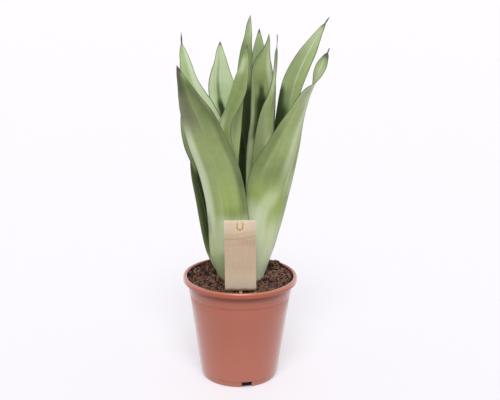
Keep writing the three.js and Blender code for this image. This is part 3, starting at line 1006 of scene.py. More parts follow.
@dataclass
class SoilBed:
    """The potting soil: a lumpy solid that fills the pot, with crumbs, shreds and green bits on top.

    Each mound is its place across and back, its height and its spread, and the lit spot, painted light on the
    crumbs that the leaves shade, its place, its spread and how much lighter it is. The bare spot, round the
    stake, is its place and its radius.
    """

    pot: Pot
    node: str = "soil"
    level: float = 151.0
    edge_rise: float = 4.0
    back_from: float = -20.0
    back_to: float = 45.0
    back_rise: float = 6.0
    turns: int = 420
    rings: int = 96
    mounds: tuple[tuple[float, float, float, float], ...] = (
        (50.0, 50.0, 6.0, 10.0),
        (-37.0, -16.0, 8.0, 14.0),
        (43.0, -8.0, 4.5, 12.0),
        (1.5, -68.0, -6.0, 17.0),
    )
    lump_sizes: tuple[float, ...] = (9.0, 4.4, 2.4)
    lump_heights: tuple[float, ...] = (1.6, 2.0, 1.2)
    # painted shade: heights about the broad slope over which the bed runs from dark in its gaps to light on
    # its lumps
    shade_span: Pair = (-1.2, 1.6)
    bare_spot: Triple = (1.5, -66.0, 13.0)
    # painted light on the crumbs at the back right, where the leaves shade the soil
    lit_spot: tuple[float, float, float, float] = (52.0, 44.0, 34.0, 1.6)
    clearance: float = 0.1
    side_top: float = 4.0
    strewn_depth: float = 8.0
    wall_room: float = 0.35
    scatters: tuple[Scatter, ...] = (
        Scatter("soil_clods", 1300, 2.2, 6.5, flatness=0.42, sides=2, roughness=0.6, sink=0.1, seed=11),
        Scatter("soil_grains", 3600, 1.0, 3.0, flatness=0.5, sides=1, roughness=0.5, sink=0.0, seed=12),
        Scatter("soil_shreds", 1100, 3.0, 8.0, flatness=0.12, sides=0, roughness=0.45, sink=0.0, seed=13),
        Scatter("soil_scraps", 26, 2.5, 5.0, flatness=0.12, sides=0, roughness=0.5, sink=0.0, seed=14),
    )

    def height(self, x: Array, y: Array) -> Array:
        """Gives the soil's broad height, heaped up towards the back, in millimetres.

        Args:
            x: Places across the pot, in millimetres.
            y: Places back from the axis.

        Returns:
            The height at each place.
        """
        reach = np.hypot(x, y) / (self.pot.collar_radius - self.pot.wall)
        behind = smooth_step(y, self.back_from, self.back_to)
        slope = self.back_rise * behind * reach**1.5 + self.edge_rise * (1 - behind) * reach**4
        heaped = sum(
            height * np.exp(-((x - across) ** 2 + (y - back) ** 2) / spread**2)
            for across, back, height, spread in self.mounds
        )
        return self.level + slope + heaped

    def lumps(self, x: Array, y: Array) -> Array:
        """Gives the height of the crumbs that the soil has crumbled into.

        Args:
            x: Places across, in millimetres.
            y: Places from front to back.

        Returns:
            Heights above the broad slope, in millimetres.
        """
        total = np.zeros(x.size)
        for size, height in zip(self.lump_sizes, self.lump_heights):
            cells = [
                noise.voronoi(Vector((px / size, py / size, size)))[0]
                for px, py in zip(x.ravel(), y.ravel())
            ]
            total += height * np.array([1 - 2 * distances[0] for distances in cells])
        return total.reshape(x.shape)

    def build(self) -> list[Object]:
        """Builds the soil and everything strewn on it.

        Returns:
            The pieces.
        """
        bed = self._bed()
        bed.data.materials.append(PottingSoil("peat_soil_bed").build())
        hand_over(bed, "soil", self.node)
        crumbs = PottingSoil("peat_crumbs", middle="3f261b", light="926b5a").build()
        shreds = PeatFibre("peat_shreds", "46291e", "977464").build()
        scraps = PeatFibre("leaf_scraps", "2c3a1c", "55683a").build()
        finishes = (crumbs, crumbs, shreds, scraps)
        return [bed, *(self._strew(bed, *each) for each in zip(self.scatters, finishes))]

    def _surface(self) -> tuple[Array, Faces]:
        """Lays out the soil's top as rings of points about the pot's axis, just clear of its wall.

        Returns:
            The points in millimetres, with the axis last, and the faces.
        """
        across, back = circle(self.turns)
        shares = np.linspace(1, 0, self.rings, endpoint=False)
        reach = self.pot.inner_radius(self.level) - self.clearance
        x, y = reach * np.outer(shares, across), reach * np.outer(shares, back)
        z = self.height(x, y) + self.lumps(x, y)
        spread = (self.pot.inner_radius(z) - self.clearance) / reach
        points = np.stack([x * spread, y * spread, z], axis=-1).reshape(-1, 3)
        centre = np.array([[0, 0, float(self.height(np.zeros(1), np.zeros(1))[0])]])
        faces = ring_faces(np.arange(len(points)).reshape(-1, self.turns))
        faces += fan_faces(range(len(points) - self.turns, len(points)), len(points))
        return np.concatenate([points, centre]), faces

    def _bed(self) -> Object:
        """Builds the solid bed: the lumpy top, the side against the pot's wall, and the underside.

        Returns:
            The bed, one closed body.
        """
        points, faces = self._surface()
        pot, (across, back) = self.pot, circle(self.turns)
        foot_top = pot.foot_height + pot.inner_slope
        heights = (self.level - self.side_top, pot.shoulder_height, foot_top, pot.foot_height, pot.floor)
        rings = []
        for z in heights:
            reach = float(pot.inner_radius(z)) - self.clearance
            lift = self.clearance if z == pot.floor else 0.0
            rings.append(np.stack([reach * across, reach * back, np.full_like(across, z + lift)], axis=1))
        start, count = len(points), len(points) + len(rings) * self.turns
        below = np.arange(start, count).reshape(-1, self.turns)
        faces += ring_faces(np.vstack([below[::-1], np.arange(self.turns)]))
        faces += fan_faces(range(count - self.turns, count)[::-1], count)
        floor_centre = np.array([[0, 0, pot.floor + self.clearance]])
        piece = new_object("soil_bed", np.concatenate([points, *rings, floor_centre]) * MM, faces)
        x, y, z = vertex_columns(piece) / MM
        # painted shade: the low places between the lumps are painted darker, the lump tops lighter
        low, high = self.shade_span
        set_attribute(piece, "shade", np.clip((z - self.height(x, y) - low) / (high - low), 0, 1))
        return piece

    def _strew(self, bed: Object, scatter: Scatter, finish: Material) -> Object:
        """Strews one kind of bit over the soil with Geometry Nodes, and makes it a plain mesh.

        Args:
            bed: The finished bed, whose top carries the bits.
            scatter: Their number, size and shape.
            finish: Their material.

        Returns:
            The bits, as one piece.
        """
        mesh = self._ground(bed, scatter)
        piece = place_object(scatter.name, mesh)
        tree, sockets = StrewTree(scatter, finish).build()
        modifier = piece.modifiers.new("strew", "NODES")
        modifier.node_group = tree
        values = {
            "Density": scatter.count / sum(face.area for face in mesh.polygons),
            "Smallest": scatter.smallest * MM,
            "Largest": scatter.largest * MM,
            "Flatness": scatter.flatness,
            "Sink": scatter.sink * scatter.smallest * MM,
            "Seed": scatter.seed,
        }
        for name, value in values.items():
            modifier[sockets[name]] = value
        bake_modifiers(piece)
        self._paint_lit_spot(piece)
        hand_over(piece, "soil")
        return piece

    def _ground(self, bed: Object, scatter: Scatter) -> bpy.types.Mesh:
        """Copies the part of the bed's top that carries one kind of bit, clear of the wall and the stake.

        Args:
            bed: The finished bed.
            scatter: The bits.

        Returns:
            The open mesh that they are strewn on.
        """
        ground = bmesh.new()
        ground.from_mesh(bed.data)
        ground.faces.ensure_lookup_table()
        reach = (float(self.pot.inner_radius(self.level)) - self.wall_room * scatter.largest) * MM
        low = (self.level - self.strewn_depth) * MM
        spot, bare = Vector(self.bare_spot[:2]) * MM, self.bare_spot[2] * MM
        outside = []
        for face in ground.faces:
            centre = face.calc_center_median()
            near_wall, near_stake = centre.xy.length > reach, (centre.xy - spot).length < bare
            if face.index >= self.turns * self.rings or near_wall or near_stake or centre.z < low:
                outside.append(face)
        bmesh.ops.delete(ground, geom=outside, context="FACES")
        mesh = bpy.data.meshes.new(scatter.name)
        ground.to_mesh(mesh)
        ground.free()
        return mesh

    def _paint_lit_spot(self, piece: Object) -> None:
        """Lightens the crumbs that lie high at the back right of the pot, as painted light where the leaves
        shade them.

        Args:
            piece: The bits, changed in place.
        """
        x, y, _ = vertex_columns(piece) / MM
        across, back, spread, amount = self.lit_spot
        shade = piece.data.attributes["shade"]
        values = np.zeros(len(x), np.float32)
        shade.data.foreach_get("value", values)
        # painted light, strongest at the spot's middle
        away = ((x - across) ** 2 + (y - back) ** 2) / spread**2
        shade.data.foreach_set("value", (values + amount * np.exp(-away)).astype(np.float32))


@dataclass
class StrewTree:
    """The Geometry Nodes tree that strews bits: it picks places, and lays a turned, sized shape at each.

    Skew is how strongly small bits outnumber large ones.
    """

    scatter: Scatter
    finish: Material
    variants: int = 4
    variant_step: Triple = (3.1, 1.7, 1.0)
    variant_start: float = 0.4
    crumb_noise: float = 2.2
    shred_noise: float = 1.6
    shred_points: int = 7
    shred_tilt: float = 0.35
    skew: float = 2.2
    tree: NodeTree = field(init=False)
    given: bpy.types.bpy_prop_collection = field(init=False)

    def __post_init__(self) -> None:
        """Makes the empty tree with its named inputs."""
        self.tree = bpy.data.node_groups.new("strew_" + self.scatter.name, "GeometryNodeTree")
        face = self.tree.interface
        face.new_socket("Geometry", in_out="INPUT", socket_type="NodeSocketGeometry")
        for name in ("Density", "Smallest", "Largest", "Flatness", "Sink"):
            face.new_socket(name, in_out="INPUT", socket_type="NodeSocketFloat")
        face.new_socket("Seed", in_out="INPUT", socket_type="NodeSocketInt")
        face.new_socket("Geometry", in_out="OUTPUT", socket_type="NodeSocketGeometry")
        self.given = self.tree.nodes.new("NodeGroupInput").outputs

    def build(self) -> tuple[NodeTree, dict[str, str]]:
        """Builds the tree.

        Returns:
            The tree, and the identifier of each of its inputs by name.
        """
        tree, given = self.tree, self.given
        seed = given["Seed"]
        spread = {"Mesh": given["Geometry"], "Density": given["Density"], "Seed": seed}
        places = add_node(tree, "GeometryNodeDistributePointsOnFaces", spread)
        down = add_node(tree, "ShaderNodeMath", {0: given["Sink"], 1: -1.0}, operation="MULTIPLY")
        sunk = add_node(tree, "ShaderNodeCombineXYZ", {"Z": down})
        lowered = add_node(tree, "GeometryNodeSetPosition", {"Geometry": places, "Offset": sunk})
        layout = {
            "Points": lowered,
            "Instance": self._shapes(),
            "Pick Instance": True,
            "Rotation": self._turn(),
            "Scale": self._size(),
        }
        laid = add_node(tree, "GeometryNodeInstanceOnPoints", layout)
        draw = {"Min": 0.0, "Max": 1.0, "Seed": seed}
        shade = add_node(tree, "FunctionNodeRandomValue", draw, data_type="FLOAT")
        note = {"Geometry": laid, "Name": "shade", "Value": shade}
        toned = add_node(
            tree, "GeometryNodeStoreNamedAttribute", note, data_type="FLOAT", domain="INSTANCE"
        )
        real = add_node(tree, "GeometryNodeRealizeInstances", {"Geometry": toned})
        dressed = add_node(tree, "GeometryNodeSetMaterial", {"Geometry": real, "Material": self.finish})
        add_node(tree, "NodeGroupOutput", {"Geometry": dressed})
        items = tree.interface.items_tree
        return tree, {item.name: item.identifier for item in items if item.in_out == "INPUT"}

    def _shapes(self) -> Source:
        """Makes the unit shapes that are laid out, each place picking one: rough crumbs, or bent shreds.

        Returns:
            The source of the shapes.
        """
        joined = add_node(self.tree, "GeometryNodeJoinGeometry")
        for variant in range(self.variants):
            shape = self._crumb(variant) if self.scatter.sides else self._shred(variant)
            feed(joined, {0: add_node(self.tree, "GeometryNodeGeometryToInstance", {0: shape})})
        return joined

    def _bend(self, variant: int, scale: float) -> Source:
        """Makes a noise offset that gives each variant its own rough shape.

        Args:
            variant: The variant's number.
            scale: How fine the roughness is, for a unit shape.

        Returns:
            The offset's source.
        """
        shift = Vector(self.variant_step) * variant + Vector((0, 0, self.variant_start))
        position = add_node(self.tree, "GeometryNodeInputPosition")
        moved = add_node(self.tree, "ShaderNodeVectorMath", {0: position, 1: shift}, operation="ADD")
        texture = {"Vector": moved, "Scale": scale, "Detail": 1.0}
        colour = add_node(self.tree, "ShaderNodeTexNoise", texture).outputs["Color"]
        halves = {0: colour, 1: (0.5, 0.5, 0.5)}
        centred = add_node(self.tree, "ShaderNodeVectorMath", halves, operation="SUBTRACT")
        size = {0: centred, "Scale": 2 * self.scatter.roughness}
        return add_node(self.tree, "ShaderNodeVectorMath", size, operation="SCALE")

    def _crumb(self, variant: int) -> Source:
        """Makes a rough, faceted crumb of unit size.

        Args:
            variant: The crumb's number.

        Returns:
            The crumb's source.
        """
        size = {"Radius": 0.5, "Subdivisions": self.scatter.sides}
        ball = add_node(self.tree, "GeometryNodeMeshIcoSphere", size)
        offset = self._bend(variant, self.crumb_noise)
        return add_node(self.tree, "GeometryNodeSetPosition", {"Geometry": ball, "Offset": offset})

    def _shred(self, variant: int) -> Source:
        """Makes a thin bent shred of unit length, with a four-sided section.

        Args:
            variant: The shred's number.

        Returns:
            The shred's source.
        """
        ends = {"Start": (-0.5, 0, 0), "End": (0.5, 0, 0)}
        line = add_node(self.tree, "GeometryNodeCurvePrimitiveLine", ends)
        pieces = {"Curve": line, "Count": self.shred_points}
        divided = add_node(self.tree, "GeometryNodeResampleCurve", pieces)
        offset = self._bend(variant, self.shred_noise)
        bent = add_node(self.tree, "GeometryNodeSetPosition", {"Geometry": divided, "Offset": offset})
        square = {"Resolution": 4, "Radius": self.scatter.flatness / 2}
        section = add_node(self.tree, "GeometryNodeCurvePrimitiveCircle", square)
        tube = {"Curve": bent, "Profile Curve": section, "Fill Caps": True}
        return add_node(self.tree, "GeometryNodeCurveToMesh", tube)

    def _turn(self) -> Source:
        """Turns each bit at random; a shred stays nearly flat.

        Returns:
            The turn's source.
        """
        tilt = math.pi if self.scatter.sides else self.shred_tilt
        draw = {"Min": (-tilt, -tilt, -math.pi), "Max": (tilt, tilt, math.pi), "Seed": self.given["Seed"]}
        return add_node(self.tree, "FunctionNodeRandomValue", draw, data_type="FLOAT_VECTOR")

    def _size(self) -> Source:
        """Sizes each bit at random, with more small ones than large.

        Returns:
            The scale's source.
        """
        given = self.given
        draw = {"Min": 0.0, "Max": 1.0, "Seed": given["Seed"]}
        share = add_node(self.tree, "FunctionNodeRandomValue", draw, data_type="FLOAT")
        skewed = add_node(self.tree, "ShaderNodeMath", {0: share, 1: self.skew}, operation="POWER")
        ends = {"Value": skewed, "To Min": given["Smallest"], "To Max": given["Largest"]}
        length = add_node(self.tree, "ShaderNodeMapRange", ends)
        if not self.scatter.sides:
            return length
        flat = {0: length, 1: given["Flatness"]}
        height = add_node(self.tree, "ShaderNodeMath", flat, operation="MULTIPLY")
        return add_node(self.tree, "ShaderNodeCombineXYZ", {"X": length, "Y": height, "Z": height})


# ---------- leaves ----------


class Tone(Enum):
    """What a stretch of a leaf shows in place of its even green: pale is silver bloom with painted highlights
    and painted light, dark is painted shade, and inner shade is painted shade on the inner face alone.
    """

    PALE = "pale"
    FRESH = "fresh"
    DULL = "dull"
    DARK = "dark"
    INNER_SHADE = "inner_shade"


@dataclass(frozen=True)
class Stretch:
    """A soft-edged stretch of another tone, from one height to another, at a place across the leaf.

    Across runs from -1 at one margin to 1 at the other. Fade is how far the stretch runs out above and below,
    in millimetres, slant how much it has moved at its top and taper how many times wider it is there.
    """

    across: float
    width: float
    low: float
    high: float
    strength: float
    fade: float = 22.0
    slant: float = 0.0
    taper: float = 1.0

    def mask(self, across: Array, height: Array) -> Array:
        """Gives how strongly the stretch shows at each point.

        Args:
            across: Each point's place across the leaf, -1 to 1.
            height: Its height, in millimetres.

        Returns:
            Numbers from 0 to the stretch's strength.
        """
        share = np.clip((height - self.low) / (self.high - self.low), 0, 1)
        off = (across - self.across - self.slant * share) / (self.width * (1 + (self.taper - 1) * share))
        rise = smooth_step(height, self.low - self.fade, self.low + self.fade)
        fall = smooth_step(height, self.high - self.fade, self.high + self.fade)
        return self.strength * np.exp(-(off**4)) * rise * (1 - fall)


@dataclass
class Leaf:
    """One sword-shaped leaf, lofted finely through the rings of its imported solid.

    Tone runs from 0, the front's green, to 1, the back's. Stretches holds rows of Stretch's values by what
    they show. Awn is the length of the thin end that some leaves have, and dry that of the dry point. A rib
    wave is its spacing, strength and start, and the strength, length and start of its wander; a ripple wave
    is its lengths along and across the leaf, and its start.
    """

    node: str
    seed: float
    tone: float = 0.0
    stretches: dict[Tone, tuple[tuple[float, ...], ...]] = field(default_factory=dict)
    awn: float = 0.0
    awn_width: float = 2.0
    awn_fade: Pair = (0.9, 1.5)
    dry: float = 9.0
    row_step: float = 2.4
    columns: int = 25
    cap_steps: int = 4
    margin_room: float = 0.6
    face_points: int = 7
    face_shift: float = 0.37
    seed_turn: float = 2.4
    rib_height: float = 0.036
    rib_waves: tuple[tuple[float, ...], ...] = ((0.75, 1, 1, 0.8, 41, 1), (1.6, 0.7, 2, 1.1, 57, 0))
    ripple_height: float = 0.15
    ripple_waves: tuple[tuple[float, ...], ...] = ((13, 9, 1), (29, -14, 3))
    calm_width: Pair = (3.0, 14.0)
    inner_relief: float = 0.5

    def build(self, packed: Object, finish: Material) -> Object:
        """Builds the leaf and dresses it.

        Args:
            packed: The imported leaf.
            finish: The leaves' material.

        Returns:
            The finished leaf.
        """
        rings, tip = self._rings(packed)
        grid = self._resample(rings, tip)
        self._thin_awn(grid, tip)
        middle, half = (grid[:, :, 0] + grid[:, :, 1]) / 2, (grid[:, :, 0] - grid[:, :, 1]) / 2
        steps = np.linalg.norm(np.diff(middle, axis=1), axis=2)
        offset = np.concatenate([np.zeros((len(steps), 1)), np.cumsum(steps, axis=1)], axis=1)
        centre = self.columns // 2
        across = offset - offset[:, centre : centre + 1]
        rib = np.linalg.norm(np.diff(middle[:, centre], axis=0), axis=1)
        along = np.concatenate([[0], np.cumsum(rib)])
        thick = np.linalg.norm(half, axis=2, keepdims=True)
        out = half / np.maximum(thick, TINY)
        relief = self._relief(across, along, offset[:, -1])[..., None]
        outer = middle + out * (thick + relief)
        inner = middle - out * (thick + relief * self.inner_relief)
        self._draw_in(outer, inner, middle, thick)
        loops, info = self._close_loops(outer, inner, across)
        piece = self._mesh(loops, info, along, tip)
        piece.data.materials.append(finish)
        hand_over(piece, "leaf", self.node)
        return piece

    def _rings(self, packed: Object) -> tuple[Array, Array]:
        """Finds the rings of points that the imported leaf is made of, in its triangles.

        Args:
            packed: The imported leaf.

        Returns:
            The rings from the foot up, each along the outer face and back along the inner one, in
            millimetres, and the tip's point.
        """
        mesh = bmesh.new()
        mesh.from_mesh(packed.data)
        bmesh.ops.remove_doubles(mesh, verts=mesh.verts[:], dist=MM * MM)
        vertices = list(mesh.verts)
        tip = vertices[int(np.argmax([len(vertex.link_edges) for vertex in vertices]))]
        depth = {tip: 0}
        frontier, rings = [tip], []
        while frontier:
            found = []
            for vertex in frontier:
                for edge in vertex.link_edges:
                    other = edge.other_vert(vertex)
                    if other not in depth:
                        depth[other] = depth[vertex] + 1
                        found.append(other)
            if found:
                rings.append(self._walk(found, depth))
            frontier = found
        point = np.array(tip.co) / MM
        mesh.free()
        return self._align(np.array(rings[::-1]) / MM, point), point

    def _walk(self, ring: list[BMVert], depth: dict[BMVert, int]) -> Array:
        """Puts a ring's points in order, by the wall faces that join it to the ring above.

        Args:
            ring: The ring's vertices, in any order.
            depth: Every vertex's ring number, from 0 at the tip.

        Returns:
            The ordered points.
        """
        level = depth[ring[0]]
        beside: dict[BMVert, list[BMVert]] = {vertex: [] for vertex in ring}
        for vertex in ring:
            for edge in vertex.link_edges:
                other = edge.other_vert(vertex)
                above = [v for f in edge.link_faces for v in f.verts if depth.get(v) == level - 1]
                if other in beside and above:
                    beside[vertex].append(other)
        walked = [ring[0]]
        while len(walked) < len(ring):
            walked.append(next(v for v in beside[walked[-1]] if v not in walked))
        return np.array([v.co for v in walked])

    def _align(self, rings: Array, tip: Array) -> Array:
        """Turns every ring the same way round and starts it at the same margin.

        Args:
            rings: The rings from the foot up.
            tip: The tip's point.

        Returns:
            The rings, each starting with its outer face at the margin that across counts from.
        """
        centres = np.concatenate([rings.mean(axis=1), tip[None]])
        for k, ring in enumerate(rings):
            normal = np.cross(ring, np.roll(ring, -1, axis=0)).sum(axis=0)
            if normal @ (centres[k + 1] - centres[k]) < 0:
                rings[k] = ring[::-1]
        span = np.linalg.norm(rings - rings.mean(axis=1, keepdims=True), axis=2).max(axis=1)
        widest = int(span.argmax())
        rings[widest] = self._start_at_margin(rings[widest])
        for order in (range(widest + 1, len(rings)), range(widest - 1, -1, -1)):
            for k in order:
                known = rings[k - order.step] - rings[k - order.step].mean(axis=0)
                own = rings[k] - rings[k].mean(axis=0)
                match = [float((np.roll(own, -s, axis=0) * known).sum()) for s in range(len(own))]
                rings[k] = np.roll(rings[k], -int(np.argmax(match)), axis=0)
        return rings

    def _start_at_margin(self, ring: Array) -> Array:
        """Rolls a ring so that it starts at a margin, with its convex face first.

        Args:
            ring: The ring's points, in order.

        Returns:
            The same points from another start.
        """
        count = self.face_points
        gaps = np.linalg.norm(ring - np.roll(ring, 1, axis=0), axis=1)
        start = int(np.argmin(gaps + np.roll(gaps, count)))
        rolled = np.roll(ring, -start, axis=0)
        first, second = rolled[count // 2], rolled[count // 2 + count]
        chord = (rolled[0] + rolled[count - 1] + rolled[count] + rolled[-1]) / 4
        if ((first + second) / 2 - chord) @ (first - second) < 0:
            rolled = np.roll(rolled, -count, axis=0)
        return rolled

    def _resample(self, rings: Array, tip: Array) -> Array:
        """Samples the leaf's two faces finely between the rings.

        Args:
            rings: The rings from the foot up.
            tip: The tip's point.

        Returns:
            Points by row, column and face, outer first, without the tip's own row.
        """
        count = self.face_points
        faces = np.stack([rings[:, :count], rings[:, count:][:, ::-1]], axis=2)
        faces = np.concatenate([faces, np.broadcast_to(tip, (1, *faces.shape[1:]))])
        gaps = np.linalg.norm(np.diff(faces.mean(axis=(1, 2)), axis=0), axis=1)
        steps = np.maximum(2, np.ceil(gaps / self.row_step)).astype(int)
        rows = np.concatenate([k + np.arange(number) / number for k, number in enumerate(steps)])
        fine = catmull_rom(faces, rows)
        places = np.linspace(0, count - 1, self.columns)
        return catmull_rom(fine.transpose(1, 0, 2, 3), places).transpose(1, 0, 2, 3)

    def _thin_awn(self, grid: Array, tip: Array) -> None:
        """Narrows the last of the leaf into a thin awn.

        Args:
            grid: Points by row, column and face, changed in place.
            tip: The tip's point.
        """
        if not self.awn:
            return
        centres = grid.mean(axis=(1, 2), keepdims=True)
        away = np.linalg.norm(centres - tip, axis=3, keepdims=True)
        width = np.linalg.norm(grid[:, -1] - grid[:, 0], axis=-1).max(axis=-1).reshape(-1, 1, 1, 1)
        thin = np.minimum(1.0, self.awn_width / width)
        start, end = self.awn_fade
        share = thin + (1 - thin) * smooth_step(away, start * self.awn, end * self.awn)
        grid[:] = centres + (grid - centres) * share

    def _relief(self, across: Array, along: Array, width: Array) -> Array:
        """Gives the height of the leaf's lengthwise ribs and slow ripples, in millimetres.

        Args:
            across: Distance from the middle line.
            along: Distance from the foot, for each row.
            width: Each row's width.

        Returns:
            The height at each point.
        """
        rows = along[:, None]
        turn = self.seed * self.seed_turn
        ribs = sum(
            strength * np.sin(across / spacing + start * turn + wander * np.sin(rows / length + first * turn))
            for spacing, strength, start, wander, length, first in self.rib_waves
        )
        ripples = math.prod(
            np.sin(rows / length + start * turn + across / slant)
            for length, slant, start in self.ripple_waves
        )
        calm = smooth_step(width, *self.calm_width)[:, None]
        return calm * (self.rib_height * ribs + self.ripple_height * ripples)

    def _draw_in(self, outer: Array, inner: Array, middle: Array, thick: Array) -> None:
        """Draws both faces in from the margins, to leave room for their round edge.

        Args:
            outer: The outer face's points, changed in place.
            inner: The inner face's points, changed in place.
            middle: The leaf's middle surface.
            thick: Half its thickness.
        """
        for edge, beside in ((0, 1), (-1, -2)):
            way = middle[:, beside] - middle[:, edge]
            room = np.linalg.norm(way, axis=1, keepdims=True)
            pull = way / np.maximum(room, TINY) * np.minimum(thick[:, edge], self.margin_room * room)
            outer[:, edge] += pull
            inner[:, edge] += pull

    def _cap(self, edge: int, beside: int, start: Array, end: Array) -> Array:
        """Rounds one margin, from one face's edge over to the other's.

        Args:
            edge: The margin's column.
            beside: The column next to it.
            start: The points of the face that the round starts from.
            end: The points of the face that it ends on.

        Returns:
            Points by row and step, without the two edges.
        """
        angles = np.linspace(0, np.pi, self.cap_steps + 1)[1:-1]
        centre, arm = (start[:, edge] + end[:, edge]) / 2, (start[:, edge] - end[:, edge]) / 2
        way = centre - (start[:, beside] + end[:, beside]) / 2
        way /= np.maximum(np.linalg.norm(way, axis=1, keepdims=True), TINY)
        radius = np.linalg.norm(arm, axis=1, keepdims=True)
        points = [centre + arm * math.cos(a) + way * radius * math.sin(a) for a in angles]
        return np.stack(points, axis=1)

    def _close_loops(self, outer: Array, inner: Array, across: Array) -> tuple[Array, dict[str, Array]]:
        """Joins the two faces with round margins, into one closed loop of points for each row.

        Args:
            outer: The outer face's points by row and column.
            inner: The inner face's points.
            across: Each column's distance from the middle line, in millimetres.

        Returns:
            The loops, and for each of their points its distance from the middle line and from the margin, its
            face, from 1 on the outer one to -1, and its place across, from -1 to 1.
        """
        bends = self.cap_steps - 1
        right, left = self._cap(-1, -2, outer, inner), self._cap(0, 1, inner, outer)
        loops = np.concatenate([outer, right, inner[:, ::-1], left], axis=1)
        beyond, before = np.repeat(across[:, -1:], bends, axis=1), np.repeat(across[:, :1], bends, axis=1)
        across_all = np.concatenate([across, beyond, across[:, ::-1], before], axis=1)
        margin = np.minimum(across_all - across[:, :1], across[:, -1:] - across_all)
        shares, ones, edge = np.linspace(-1, 1, self.columns), np.ones(self.columns), np.ones(bends)
        face = np.concatenate([ones, 0 * edge, -ones, 0 * edge])
        share = np.concatenate([shares, edge, shares[::-1], -edge])
        measures = {"across": across_all, "margin": margin, "face": face, "share": share}
        shape = loops.shape[:2]
        return loops, {name: np.broadcast_to(values, shape) for name, values in measures.items()}

    def _mesh(self, loops: Array, info: dict[str, Array], along: Array, tip: Array) -> Object:
        """Makes the leaf's mesh from its loops, with its attributes.

        Args:
            loops: The loops from the foot up, in millimetres.
            info: Their points' measures.
            along: Each loop's distance from the foot.
            tip: The tip's point.

        Returns:
            The undressed leaf.
        """
        rows, size = loops.shape[:2]
        points = np.concatenate([loops.reshape(-1, 3), tip[None]])
        count = rows * size
        faces = ring_faces(np.arange(count).reshape(-1, size))
        faces += fan_faces(range(count - size, count), count)
        faces.append(tuple(range(size)[::-1]))
        piece = new_object(self.node.replace("leaf_", "blade_"), points * MM, faces)
        flat = {name: np.append(values.reshape(-1), 0.0) for name, values in info.items()}
        reach = along[-1] + np.linalg.norm(loops[-1].mean(axis=0) - tip)
        along_all = np.append(np.repeat(along, size), reach)
        measures = {tone.value: self._mask(tone, flat["share"], points[:, 2]) for tone in Tone}
        # inner shade is painted shade, laid on the inner face alone and joined to the dark stretches' painted
        # shade
        inner_shade = measures.pop(Tone.INNER_SHADE.value) * (flat["face"] <= 0)
        measures["dark"] = 1 - (1 - measures["dark"]) * (1 - inner_shade)
        measures |= {
            "along": along_all,
            "across": flat["across"],
            "margin": flat["margin"],
            "point": (reach - along_all) * LeafCuticle.point_length / self.dry,
            "tone": np.full(count + 1, self.tone),
            "seed": self.seed + self.face_shift * flat["face"],
        }
        for name, values in measures.items():
            set_attribute(piece, name, values)
        return piece

    def _mask(self, tone: Tone, share: Array, height: Array) -> Array:
        """Lays the stretches of one tone over one another.

        Args:
            tone: The tone.
            share: The points' places across, -1 to 1.
            height: Their heights, in millimetres.

        Returns:
            How strongly the tone shows at each point, 0 to 1.
        """
        clear = np.ones(len(height))
        for row in self.stretches.get(tone, ()):
            clear *= 1 - Stretch(*row).mask(share, height)
        return 1 - clear


